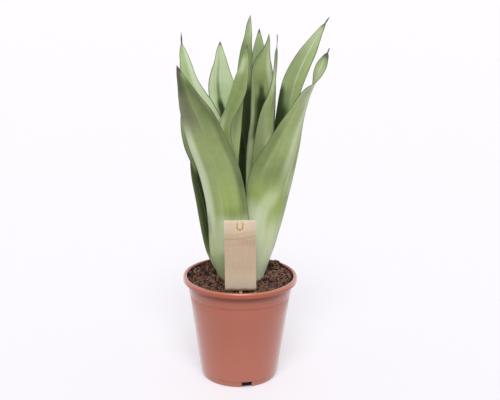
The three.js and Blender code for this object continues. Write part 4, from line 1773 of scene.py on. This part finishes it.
@dataclass
class Rosette:
    """The plant's twelve leaves, each with its stretches of tone: painted highlights and painted light among
    the pale ones, painted shade in the dark and inner shade ones.

    A row gives a stretch's values in the order of Stretch's fields.
    """

    leaves: tuple[Leaf, ...] = (
        Leaf(
            "leaf_front_left", seed=1.0, dry=16.0,
            stretches={
                Tone.PALE: (
                    (-0.84, 0.27, 235, 385, 0.55, 22.0, 0.03), (-0.5, 0.5, 120, 240, 0.22),
                    (0.3, 0.8, 200, 256, 0.55, 10.0), (0.6, 0.4, 460, 500, 0.5, 8.0),
                    (0.1, 0.06, 390, 450, 0.22), (-0.15, 0.05, 200, 300, 0.12),
                    (0.93, 0.14, 408, 444, 0.28, 8.0),
                ),
                Tone.FRESH: ((0.25, 0.5, 255, 330, 0.3),),
                Tone.DULL: ((-0.8, 0.9, 385, 480, 0.75), (0.1, 1.2, 305, 388, 0.16)),
                Tone.DARK: (
                    (0.2, 1.3, 395, 490, 0.42), (-0.3, 0.9, 436, 490, 0.35, 10.0),
                    (-0.75, 0.5, 436, 486, 0.4, 10.0), (0.88, 0.2, 265, 430, 0.5),
                    (0.75, 0.35, 432, 452, 0.35, 6.0), (-0.94, 0.16, 226, 260, 0.34, 8.0),
                    (0.4, 0.45, 360, 404, 0.13, 12.0), (0.62, 0.2, 398, 434, 0.2, 10.0),
                    (0.92, 0.16, 300, 322, 0.34, 8.0), (-0.35, 0.3, 205, 250, 0.1),
                ),
            },
        ),
        Leaf(
            "leaf_front_right", seed=2.0, awn=8.0, dry=20.0,
            stretches={
                Tone.PALE: (
                    (-0.52, 0.05, 320, 420, 0.15, 22.0, -0.02), (0.05, 0.4, 350, 440, 0.1),
                    (0.4, 0.17, 312, 440, 0.42, 22.0, -0.03), (0.66, 0.06, 290, 420, 0.35, 22.0, -0.03),
                    (-0.7, 0.4, 205, 266, 0.7, 10.0), (-0.55, 0.45, 240, 296, 0.4, 17.0, 0.75, 0.75),
                    (-0.3, 0.3, 190, 262, 0.4), (0.3, 0.7, 120, 245, 0.5), (0.1, 1.1, 100, 205, 0.42),
                    (0.35, 0.5, 138, 164, 0.35, 8.0), (0.9, 0.17, 138, 196, 0.95, 8.0),
                    (0.92, 0.14, 286, 324, 0.3, 10.0), (-0.8, 0.3, 262, 280, 0.35, 8.0),
                    (0.0, 1.0, 206, 248, 0.12), (0.0, 1.3, 422, 474, 0.36, 12.0),
                    (0.1, 0.14, 462, 486, 0.4, 6.0),
                ),
                Tone.FRESH: ((0.1, 0.9, 205, 300, 0.5), (0.45, 0.7, 150, 225, 0.35)),
                Tone.DULL: ((0.0, 1.3, 405, 455, 0.12),),
                Tone.DARK: (
                    (-0.8, 0.32, 312, 395, 0.4), (0.0, 0.48, 300, 345, 0.32), (0.92, 0.14, 315, 375, 0.25),
                    (-0.5, 0.35, 420, 442, 0.26, 8.0), (-0.12, 0.2, 362, 408, 0.14, 12.0),
                    (0.8, 0.3, 262, 300, 0.12), (0.1, 1.4, 486, 512, 0.5, 8.0),
                ),
            },
        ),
        Leaf(
            "leaf_left_long", seed=3.0, tone=0.75, awn=16.0, dry=24.0,
            stretches={
                Tone.PALE: ((-0.66, 0.3, 392, 500, 0.66, 22.0, 0.05), (-0.9, 0.1, 380, 470, 0.4)),
                Tone.DARK: ((0.5, 0.8, 318, 370, 0.3), (-0.2, 0.3, 410, 450, 0.12)),
                Tone.INNER_SHADE: ((0.9, 0.3, 200, 312, 0.85, 10.0), (0.0, 1.3, 120, 312, 0.62)),
            },
        ),
        Leaf(
            "leaf_left_low", seed=4.0, dry=5.0,
            stretches={
                Tone.PALE: ((0.97, 0.05, 170, 280, 0.3), (0.8, 0.4, 120, 176, 0.8, 10.0)),
                Tone.DARK: ((0.85, 0.3, 180, 420, 0.35),),
                Tone.INNER_SHADE: ((0.5, 0.42, 190, 420, 0.85), (-0.4, 0.9, 140, 420, 0.85)),
            },
        ),
        Leaf(
            "leaf_back_left", seed=5.0, tone=1.0, dry=8.0,
            stretches={
                Tone.PALE: (
                    (-0.1, 1.3, 428, 490, 0.38), (-0.45, 0.45, 415, 500, 0.2), (0.03, 0.05, 430, 495, 0.5),
                    (0.75, 0.16, 410, 480, 0.5),
                ),
                Tone.DARK: ((0.24, 0.13, 400, 480, 0.3), (0.26, 0.2, 400, 440, 0.4, 12.0, -0.04, 0.5)),
                Tone.INNER_SHADE: (
                    (0.46, 0.56, 366, 412, 0.98, 8.0, -0.18, 0.36), (-0.4, 1.2, 100, 365, 0.97, 16.0),
                    (-1.0, 0.45, 330, 378, 0.97, 7.0),
                ),
            },
        ),
        Leaf(
            "leaf_back_tall", seed=6.0, tone=0.6, dry=4.5,
            stretches={
                Tone.PALE: ((-0.85, 0.25, 508, 545, 0.5, 8.0), (0.0, 1.5, 526, 545, 0.4, 5.0)),
                Tone.DULL: ((0.0, 1.5, 524, 545, 0.7, 5.0), (0.2, 0.5, 500, 530, 0.2)),
                Tone.DARK: (
                    (0.0, 1.6, 474, 498, 0.3, 10.0), (-0.8, 0.35, 430, 480, 0.45),
                    (0.65, 0.35, 440, 500, 0.16),
                ),
                Tone.INNER_SHADE: ((-0.2, 1.6, 100, 436, 0.97, 16.0),),
            },
        ),
        Leaf(
            "leaf_inner_left", seed=7.0, tone=0.1,
            stretches={
                Tone.PALE: (
                    (-0.25, 0.6, 462, 482, 0.42, 8.0), (0.94, 0.09, 415, 480, 0.2),
                    (-0.25, 0.4, 372, 398, 0.3, 8.0),
                ),
                Tone.DARK: (
                    (0.1, 1.3, 486, 510, 0.42, 8.0), (-0.4, 0.9, 400, 462, 0.24),
                    (-0.75, 0.14, 364, 392, 0.75, 5.0), (0.6, 0.6, 340, 480, 0.22),
                    (0.9, 0.25, 120, 345, 0.5),
                ),
            },
        ),
        Leaf(
            "leaf_inner_centre", seed=8.0, tone=0.35, dry=6.0,
            stretches={
                Tone.PALE: (
                    (0.1, 1.0, 335, 420, 0.3), (0.6, 0.3, 340, 395, 0.4, 8.0), (-0.9, 0.1, 340, 400, 0.2),
                ),
                Tone.FRESH: ((0.0, 1.2, 320, 420, 0.75),),
                Tone.DARK: ((0.0, 1.3, 290, 345, 0.22),),
                Tone.INNER_SHADE: ((0.9, 0.25, 120, 330, 0.6),),
            },
        ),
        Leaf(
            "leaf_centre", seed=9.0, tone=0.2, dry=4.5,
            stretches={
                Tone.PALE: (
                    (-0.72, 0.2, 430, 490, 0.45, 22.0, 0.1), (0.62, 0.25, 335, 372, 0.35, 12.0),
                    (0.75, 0.16, 375, 420, 0.5), (0.8, 0.2, 290, 330, 0.3), (0.0, 1.2, 480, 500, 0.15),
                ),
                Tone.DARK: (
                    (0.1, 0.6, 436, 458, 0.22, 10.0), (0.45, 0.3, 400, 445, 0.25, 10.0),
                    (0.55, 0.05, 330, 420, 0.25), (0.1, 0.8, 448, 476, 0.1),
                ),
                Tone.INNER_SHADE: (
                    (-0.08, 0.8, 360, 423, 0.98, 8.0, 0.1, 0.6), (0.02, 0.34, 390, 440, 0.9, 9.0, 0.03, 0.6),
                    (0.12, 0.28, 335, 385, 0.96, 10.0), (-0.85, 0.5, 100, 420, 0.92, 22.0, 0.14),
                ),
            },
        ),
        Leaf(
            "leaf_inner_right", seed=10.0, tone=0.15, awn=19.0, dry=32.0,
            stretches={
                Tone.PALE: (
                    (0.3, 0.3, 338, 372, 0.4, 12.0), (0.1, 0.35, 355, 385, 0.2),
                    (-0.36, 0.14, 432, 475, 0.85, 10.0), (-0.7, 0.25, 432, 470, 0.35, 10.0),
                ),
                Tone.DULL: ((-0.6, 0.6, 335, 415, 0.4),),
                Tone.DARK: (
                    (-0.85, 0.35, 315, 400, 0.16), (0.93, 0.16, 350, 392, 0.6),
                    (0.55, 0.35, 408, 445, 0.45, 10.0), (0.2, 0.9, 462, 530, 0.5, 12.0),
                ),
            },
        ),
        Leaf(
            "leaf_back_centre", seed=11.0, tone=0.75,
            stretches={
                Tone.DULL: ((0.2, 1.2, 455, 505, 0.3),),
                Tone.DARK: ((0.3, 1.2, 455, 500, 0.16),),
                Tone.INNER_SHADE: ((0.0, 1.6, 100, 445, 0.9),),
            },
        ),
        Leaf(
            "leaf_right_long", seed=12.0, tone=0.4, awn=12.0, dry=24.0,
            stretches={
                Tone.PALE: (
                    (-0.2, 0.07, 425, 520, 0.5, 22.0, 0.35), (-0.95, 0.12, 138, 180, 0.95, 6.0),
                    (0.3, 1.0, 492, 535, 0.3),
                ),
                Tone.FRESH: ((-0.6, 0.5, 430, 480, 0.2),),
                Tone.DULL: ((0.5, 0.9, 425, 530, 0.22),),
                Tone.DARK: (
                    (0.5, 1.0, 340, 430, 0.45, 9.0, 0.1, 0.6), (-0.5, 0.7, 385, 450, 0.13),
                    (0.75, 0.4, 440, 500, 0.1), (0.2, 0.3, 425, 470, 0.16),
                ),
                Tone.INNER_SHADE: (
                    (0.5, 1.0, 350, 406, 0.98, 10.0, 0.12, 0.7), (0.74, 0.5, 396, 434, 0.9, 8.0, 0.16, 0.5),
                    (0.25, 1.1, 100, 378, 0.9),
                ),
            },
        ),
    )

    def build(self, packed: dict[str, Object]) -> list[Object]:
        """Builds every leaf with one shared material.

        Args:
            packed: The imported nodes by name.

        Returns:
            The leaves.
        """
        finish = LeafCuticle().build()
        return [leaf.build(packed[leaf.node], finish) for leaf in self.leaves]


# ---------- tag ----------


@dataclass
class Tag:
    """The plain card and the clear stake that holds it: the stake's end comes through the card's slit.

    A crease is its height from the card's top, its waviness and its strength; the card is painted darker along
    it, as shade. A wash is its full strength, the height where it starts and the one where it is full, from
    the card's top or, for the foot's and the bottom edge's, from its bottom; the foot's wash is painted light.
    A ripple is how far a mark sways and over what length, or for the smear's how fast it turns. The smear's
    rows are the heights where it starts, is full, starts to fade and has faded.
    """

    card_node: str = "tag_card"
    stake_node: str = "tag_stake"
    lean: float = -1.1
    x: float = 1.5
    y: float = -57.0
    bottom: float = 154.0
    sharp_angle: float = 40.0
    width: float = 45.0
    card_height: float = 105.5
    thickness: float = 0.8
    cell: float = 0.75
    corner_nip: float = 0.3
    bow: float = 0.35
    tongue_width: float = 9.0
    tongue_height: float = 13.0
    tongue_push: float = 1.1
    tongue_bend: float = 1.5
    slit: float = 0.4
    slit_below: float = 1.6
    slit_turns: int = 17
    creases: tuple[Triple, ...] = ((-26.5, 0.8, 0.9), (-20.0, 0.6, 0.45), (-35.0, -0.5, 0.3))
    crease_slope: float = 0.11
    crease_sway: float = 7.0
    crease_width: float = 0.7
    crease_strength: float = 0.6
    fold_height: float = 0.12
    fold_width: float = 1.5
    top_wash: Triple = (0.5, -30.0, -7.5)
    edge_wash: Triple = (0.25, -6.0, 0.0)
    # painted light: the foot is painted lighter where the soil and the rim shade it
    foot_wash: Triple = (0.42, 40.0, 4.0)
    smudge_ripple: Pair = (0.15, 5.0)
    smudge_drift: Pair = (2.0, 9.0)
    smear_rows: tuple[float, float, float, float] = (-42.0, -34.0, -31.0, -27.0)
    smear_side: float = 6.0
    smear_strength: float = 0.45
    smear_ripple: Pair = (0.35, 1.9)
    smear_drift: float = 5.0
    # painted shade round the slit: how wide it is, and where it fades towards the card's top
    slit_shade_width: float = 0.9
    slit_shade_wash: Triple = (0.9, -2.0, -6.0)
    # the darker brown along the bottom edge: its strength and heights, and how its top sways
    bottom_dark_wash: Triple = (0.9, 4.2, 1.2)
    bottom_dark_ripple: Pair = (0.6, 3.0)
    stake_width: float = 4.6
    head_width: float = 5.8
    stake_thickness: float = 1.2
    stake_bottom: float = 88.0
    stake_point: float = 14.0
    stake_tip: float = 0.04
    stake_proud: float = 1.0
    stake_gap: float = 0.35
    stake_corner: float = 0.35
    stake_rows: int = 90
    head_rows: int = 9
    head_arc: float = 1.52
    head_rise: Pair = (-4.0, 2.0)
    passage_rise: Pair = (-2.0, 4.0)

    def build(self) -> list[Object]:
        """Builds the card and the stake."""
        return [self._card(), self._stake()]

    def _dress(self, piece: Object, finish: Material, slot: str, node: str) -> Object:
        """Stands a flat shape at the tag's place and hands it over.

        Args:
            piece: The card or the stake, in millimetres from the card's bottom.
            finish: Its material.
            slot: The record's material slot.
            node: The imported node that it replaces.

        Returns:
            The same piece.
        """
        lean = Matrix.Rotation(math.radians(self.lean), 4, "Y")
        place = Matrix.Translation((self.x * MM, self.y * MM, self.bottom * MM))
        piece.data.transform(place @ lean @ Matrix.Scale(MM, 4))
        piece.data.set_sharp_from_angle(angle=math.radians(self.sharp_angle))
        piece.data.materials.append(finish)
        hand_over(piece, slot, node)
        return piece

    def _slit_frame(self) -> Triple:
        """Gives the slit's outer radius, its upper end and the height where its round part starts."""
        radius, upper = self.tongue_width / 2, self.card_height - self.slit_below
        return radius, upper, upper - self.tongue_height + radius

    def _tongue(self, x: Array, z: Array) -> Array:
        """Marks the tongue, from 0 where it hangs to 1 at its end.

        Args:
            x: Places across the card, in millimetres from its middle.
            z: Heights from its bottom.

        Returns:
            How far down the tongue each place is, and 0 outside it.
        """
        outer, upper, centre = self._slit_frame()
        radius = outer - self.slit / 2
        within = (np.abs(x) < radius) & (z < upper) & ((z > centre) | (np.hypot(x, z - centre) < radius))
        return within * (upper - z) / self.tongue_height

    def _slit_distance(self, x: Array, z: Array) -> Array:
        """Gives how far each place on the card is from the slit, in millimetres.

        Args:
            x: Places across the card, from its middle.
            z: Heights from its bottom.

        Returns:
            Distances from the slit's middle, and a whole tongue's width more above its ends.
        """
        radius, upper, centre = self._slit_frame()
        beside = np.where(z > centre, np.abs(x), np.hypot(x, z - centre)) - radius
        return np.abs(beside + self.tongue_width * (z > upper) + self.slit / 2)

    def _card(self) -> Object:
        """Builds the die-cut card from a fine grid, cuts its slit, bends its tongue and creases it.

        Returns:
            The card.
        """
        piece = self._sheet()
        cut_away(piece, self._slit_cutter())
        x, y, z = vertex_columns(piece)
        crease, lift = self._creases(x, z)
        self._mark(piece, x, z, crease)
        bowed = self.bow * (1 - (2 * x / self.width) ** 2) + lift
        pushed = self.tongue_push * self._tongue(x, z) ** self.tongue_bend
        moved = np.stack([x, y - bowed + pushed, z], axis=1)
        piece.data.vertices.foreach_set("co", moved.astype(np.float32).ravel())
        return self._dress(piece, KraftCard().build(), "card", self.card_node)

    def _creases(self, x: Array, z: Array) -> tuple[Array, Array]:
        """Gives the card's creases.

        Args:
            x: Places across the card, in millimetres from its middle.
            z: Heights from its bottom.

        Returns:
            How strongly each place lies in a crease, which sets the shade painted along it, and how far the
            folds lift it, in millimetres.
        """
        crease, lift = np.zeros(len(x)), np.zeros(len(x))
        for height, waviness, strength in self.creases:
            sway = waviness * np.sin(x / self.crease_sway + height)
            off = z - self.card_height - height - sway - self.crease_slope * x
            # the crease's strength sets the shade painted along it
            crease = np.maximum(crease, strength * np.exp(-((off / self.crease_width) ** 2)))
            lift += self.fold_height * strength * np.tanh(off / self.fold_width)
        return crease, lift

    def _mark(self, piece: Object, x: Array, z: Array, crease: Array) -> None:
        """Marks the card's lighter top and its foot painted lighter as painted light, its creases painted
        darker as shade and its smear, the shade painted round its slit and its darker bottom edge.

        Args:
            piece: The cut card.
            x: Its vertices' places across, in millimetres from the middle.
            z: Their heights from its bottom.
            crease: How strongly each lies in a crease, which sets the shade painted along it.
        """
        from_top = z - self.card_height
        (sway, length), (start, drift) = self.smudge_ripple, self.smudge_drift
        smudge = 1 - sway + sway * np.sin(x / length + start + np.sin(z / drift))
        lightened = smudge * wash(from_top, self.top_wash) + wash(from_top, self.edge_wash)
        first, second, third, fourth = self.smear_rows
        smear = smooth_step(from_top, first, second) * (1 - smooth_step(from_top, third, fourth))
        sway, turns = self.smear_ripple
        streaks = self.smear_strength + sway * np.sin(turns * x + np.sin(z / self.smear_drift))
        smear *= smooth_step(x, -self.smear_side, self.smear_side) * streaks
        # painted shade round the slit
        near = self._slit_distance(x, z)
        slit_shade = 1 - smooth_step(near, self.slit / 2, self.slit / 2 + self.slit_shade_width)
        # darker brown along the bottom edge, with a wavy top
        strength, high, low = self.bottom_dark_wash
        sway, length = self.bottom_dark_ripple
        edge = high + sway * np.sin(x / length)
        # the foot's wash is painted light, lifting the card's foot where the soil and the rim shade it
        set_attribute(piece, "lightened", lightened + wash(z, self.foot_wash))
        # painted shade along the creases, with the smear
        set_attribute(piece, "crease", self.crease_strength * np.maximum(crease, smear))
        set_attribute(piece, "slit_shade", slit_shade * wash(from_top, self.slit_shade_wash))
        set_attribute(piece, "bottom_dark", wash(z, (strength, edge, low)))

    def _sheet(self) -> Object:
        """Builds the uncut card, a grid on its front and back with closed sides and nipped corners.

        Returns:
            The card's blank.
        """
        columns, rows = (int(size / self.cell) + 1 for size in (self.width, self.card_height))
        x = np.linspace(-self.width / 2, self.width / 2, columns)
        z = np.linspace(0, self.card_height, rows)
        grid = np.stack(np.meshgrid(x, z), axis=-1).reshape(-1, 2)
        corner = np.isin(grid[:, 0], x[[0, -1]]) & np.isin(grid[:, 1], z[[0, -1]])
        grid[:, 0] -= np.sign(grid[:, 0]) * self.corner_nip * corner
        sides = [np.insert(grid, 1, depth, axis=1) for depth in (0.0, self.thickness)]
        numbers = np.arange(rows * columns).reshape(rows, columns)
        corners = (numbers[:-1, :-1], numbers[:-1, 1:], numbers[1:, 1:], numbers[1:, :-1])
        cells = np.stack(corners, axis=-1).reshape(-1, 4)
        faces = [tuple(cell) for cell in np.concatenate([cells, cells[:, ::-1] + rows * columns]).tolist()]
        edges = (numbers[0], numbers[1:, -1], numbers[-1, -2::-1], numbers[-2:0:-1, 0])
        rim = np.concatenate(edges).tolist()
        pairs = zip(rim, rim[1:] + rim[:1])
        faces += [(b, a, rows * columns + a, rows * columns + b) for a, b in pairs]
        return new_object("card_blank", np.concatenate(sides), faces)

    def _slit_cutter(self) -> Object:
        """Builds the U-shaped prism that cuts the slit.

        Returns:
            The prism.
        """
        outer, upper, centre = self._slit_frame()
        inner = outer - self.slit
        turns = np.linspace(np.pi, 2 * np.pi, self.slit_turns)
        arcs = [[(r * math.cos(t), centre + r * math.sin(t)) for t in turns] for r in (outer, inner)]
        outline = [(-outer, upper), *arcs[0], (outer, upper)]
        outline += [(inner, upper), *reversed(arcs[1]), (-inner, upper)]
        sides = (-self.thickness, 2 * self.thickness)
        points = np.array([(x, y, z) for y in sides for x, z in outline])
        front, back = numbers = np.arange(len(points)).reshape(2, -1)
        faces = [tuple(front.tolist()), tuple(back[::-1].tolist()), *ring_faces(numbers[::-1])]
        return new_object("slit_cutter", points, faces)

    def _stake(self) -> Object:
        """Builds the stake: a strip with a point in the soil, whose round head comes through the slit.

        Returns:
            The stake.
        """
        low, top = self.stake_bottom - self.bottom, self.card_height + self.stake_proud
        half = self.head_width / 2
        rounded = top - half + half * np.sin(np.linspace(0, self.head_arc, self.head_rows))
        heights = np.unique(np.concatenate([np.linspace(low, top - half, self.stake_rows), rounded]))
        passage = self.card_height - self.slit_below - self.tongue_height
        head, through = (
            smooth_step(heights, passage + start, passage + end)
            for start, end in (self.head_rise, self.passage_rise)
        )
        point = np.clip((heights - low) / self.stake_point, self.stake_tip, 1)
        cap = np.sqrt(np.clip(1 - (np.clip(heights - top + half, 0, half) / half) ** 2, 0.0, 1))
        widths = (self.stake_width / 2 * (1 - head) + half * head) * point * cap
        behind = self.thickness + self.stake_gap
        before = -self.stake_thickness - self.stake_gap - self.bow
        depths = behind + (before - behind) * through
        flat = 1 - self.stake_corner
        section = [(-1, 0), (-flat, -1), (flat, -1), (1, 0), (flat, 1), (-flat, 1)]
        rings = [
            [(w * a, d + self.stake_thickness * (1 + b) / 2, z) for a, b in section]
            for w, d, z in zip(widths, depths, heights)
        ]
        size, count = len(section), len(section) * len(heights)
        faces = ring_faces(np.arange(count).reshape(-1, size))
        faces += [tuple(range(size)[::-1]), tuple(range(count - size, count))]
        piece = new_object("stake_strip", np.array(rings).reshape(-1, 3), faces)
        set_attribute(piece, "head", np.repeat(head, size))
        return self._dress(piece, StakePlastic().build(), "stake", self.stake_node)


# ---------- studio ----------


@dataclass
class Studio:
    """A white table, a white room and a wide soft light above the camera; its sizes are in metres.

    The room's turns are where one wall's light starts to give way to the next one's, and where it has.
    """

    camera_place: Triple = (0.0134, -1.412, 0.665)
    camera_pitch: float = 15.49
    camera_roll: float = 0.66
    lens: float = 72.0
    sensor: float = 36.0
    sight: float = 100.0
    table_radius: float = 14.0
    table_sides: int = 96
    table_colour: str = "b6b4b8"
    table_glow: float = 0.9
    dark_radius: float = 0.049
    dark_fade: float = 0.008
    back_wall: float = 1.32
    front_wall: float = 0.25
    wall_turn: Pair = (-0.85, 0.0)
    ceiling: float = 0.4
    ceiling_turn: Pair = (0.0, 0.75)
    key_power: float = 2.65
    key_spread: float = 30.0
    key_height: float = 52.0
    key_distance: float = 3.0

    def build_camera(self) -> None:
        """Makes the camera and gives it to the scene."""
        data = bpy.data.cameras.new("studio_camera")
        data.lens = self.lens
        data.sensor_width = self.sensor
        data.clip_end = self.sight
        camera = place_object("studio_camera", data)
        pitch = Matrix.Rotation(math.radians(90 - self.camera_pitch), 4, "X")
        roll = Matrix.Rotation(math.radians(self.camera_roll), 4, "Z")
        camera.matrix_world = Matrix.Translation(self.camera_place) @ pitch @ roll
        bpy.context.scene.camera = camera

    def build(self) -> None:
        """Makes the room's light, the key light and the table."""
        bpy.context.scene.view_settings.view_transform = "Standard"
        self._room()
        self._key()
        self._table()

    def _room(self) -> None:
        """Makes the room: white walls behind and beside the plant, and dimmer ones in front and above."""
        world = bpy.data.worlds.new("white_room")
        bpy.context.scene.world = world
        world.use_nodes = True
        tree = world.node_tree
        way = add_node(tree, "ShaderNodeTexCoord").outputs["Generated"]
        parts = add_node(tree, "ShaderNodeSeparateXYZ", {"Vector": way})
        steps = (("Y", self.wall_turn, self.back_wall), ("Z", self.ceiling_turn, self.ceiling))
        light: Source | float = self.front_wall
        for axis, (start, end), strength in steps:
            ends = {"From Min": start, "From Max": end, "To Min": light, "To Max": strength}
            ends["Value"] = parts.outputs[axis]
            light = add_node(tree, "ShaderNodeMapRange", ends, interpolation_type="SMOOTHSTEP")
        feed(tree.nodes["Background"], {"Color": (1.0, 1.0, 1.0, 1.0), "Strength": light})

    def _key(self) -> None:
        """Hangs the key light, a very wide softbox above and behind the camera, far enough off to be even."""
        data = bpy.data.lights.new("overhead_softbox", "SUN")
        data.energy = self.key_power
        data.angle = math.radians(self.key_spread)
        lamp = place_object("overhead_softbox", data)
        height = math.radians(self.key_height)
        way = Vector((0.0, -math.cos(height), math.sin(height)))
        turn = way.to_track_quat("Z", "Y").to_matrix().to_4x4()
        lamp.matrix_world = Matrix.Translation(way * self.key_distance) @ turn

    def _table(self) -> None:
        """Lays the white table top, a wide disc at height 0, which glows but for the dark under the pot."""
        around = np.stack([*circle(self.table_sides), np.zeros(self.table_sides)], axis=1)
        table = new_object("table_top", self.table_radius * around, [tuple(range(self.table_sides))])
        material, tree, shader = new_material("white_laminate")
        place = add_node(tree, "ShaderNodeTexCoord").outputs["Object"]
        reach = add_node(tree, "ShaderNodeVectorMath", {0: place}, operation="LENGTH")
        ends = {
            "Value": reach,
            "From Min": self.dark_radius,
            "From Max": self.dark_radius + self.dark_fade,
            "To Max": self.table_glow,
        }
        glow = add_node(tree, "ShaderNodeMapRange", ends, interpolation_type="SMOOTHSTEP")
        white = linear(self.table_colour)
        feed(
            shader,
            {"Base Color": white, "Emission Color": white, "Emission Strength": glow, "Roughness": 0.6},
        )
        table.data.materials.append(material)


def main() -> None:
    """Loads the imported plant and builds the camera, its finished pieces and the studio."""
    logging.basicConfig(level=logging.INFO, format="%(message)s")
    clear_scene()
    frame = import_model()
    studio = Studio()
    studio.build_camera()
    pot = Pot()
    pot.build()
    SoilBed(pot).build()
    Rosette().build(frame["nodes"])
    Tag().build()
    studio.build()


if __name__ == "__main__":
    main()
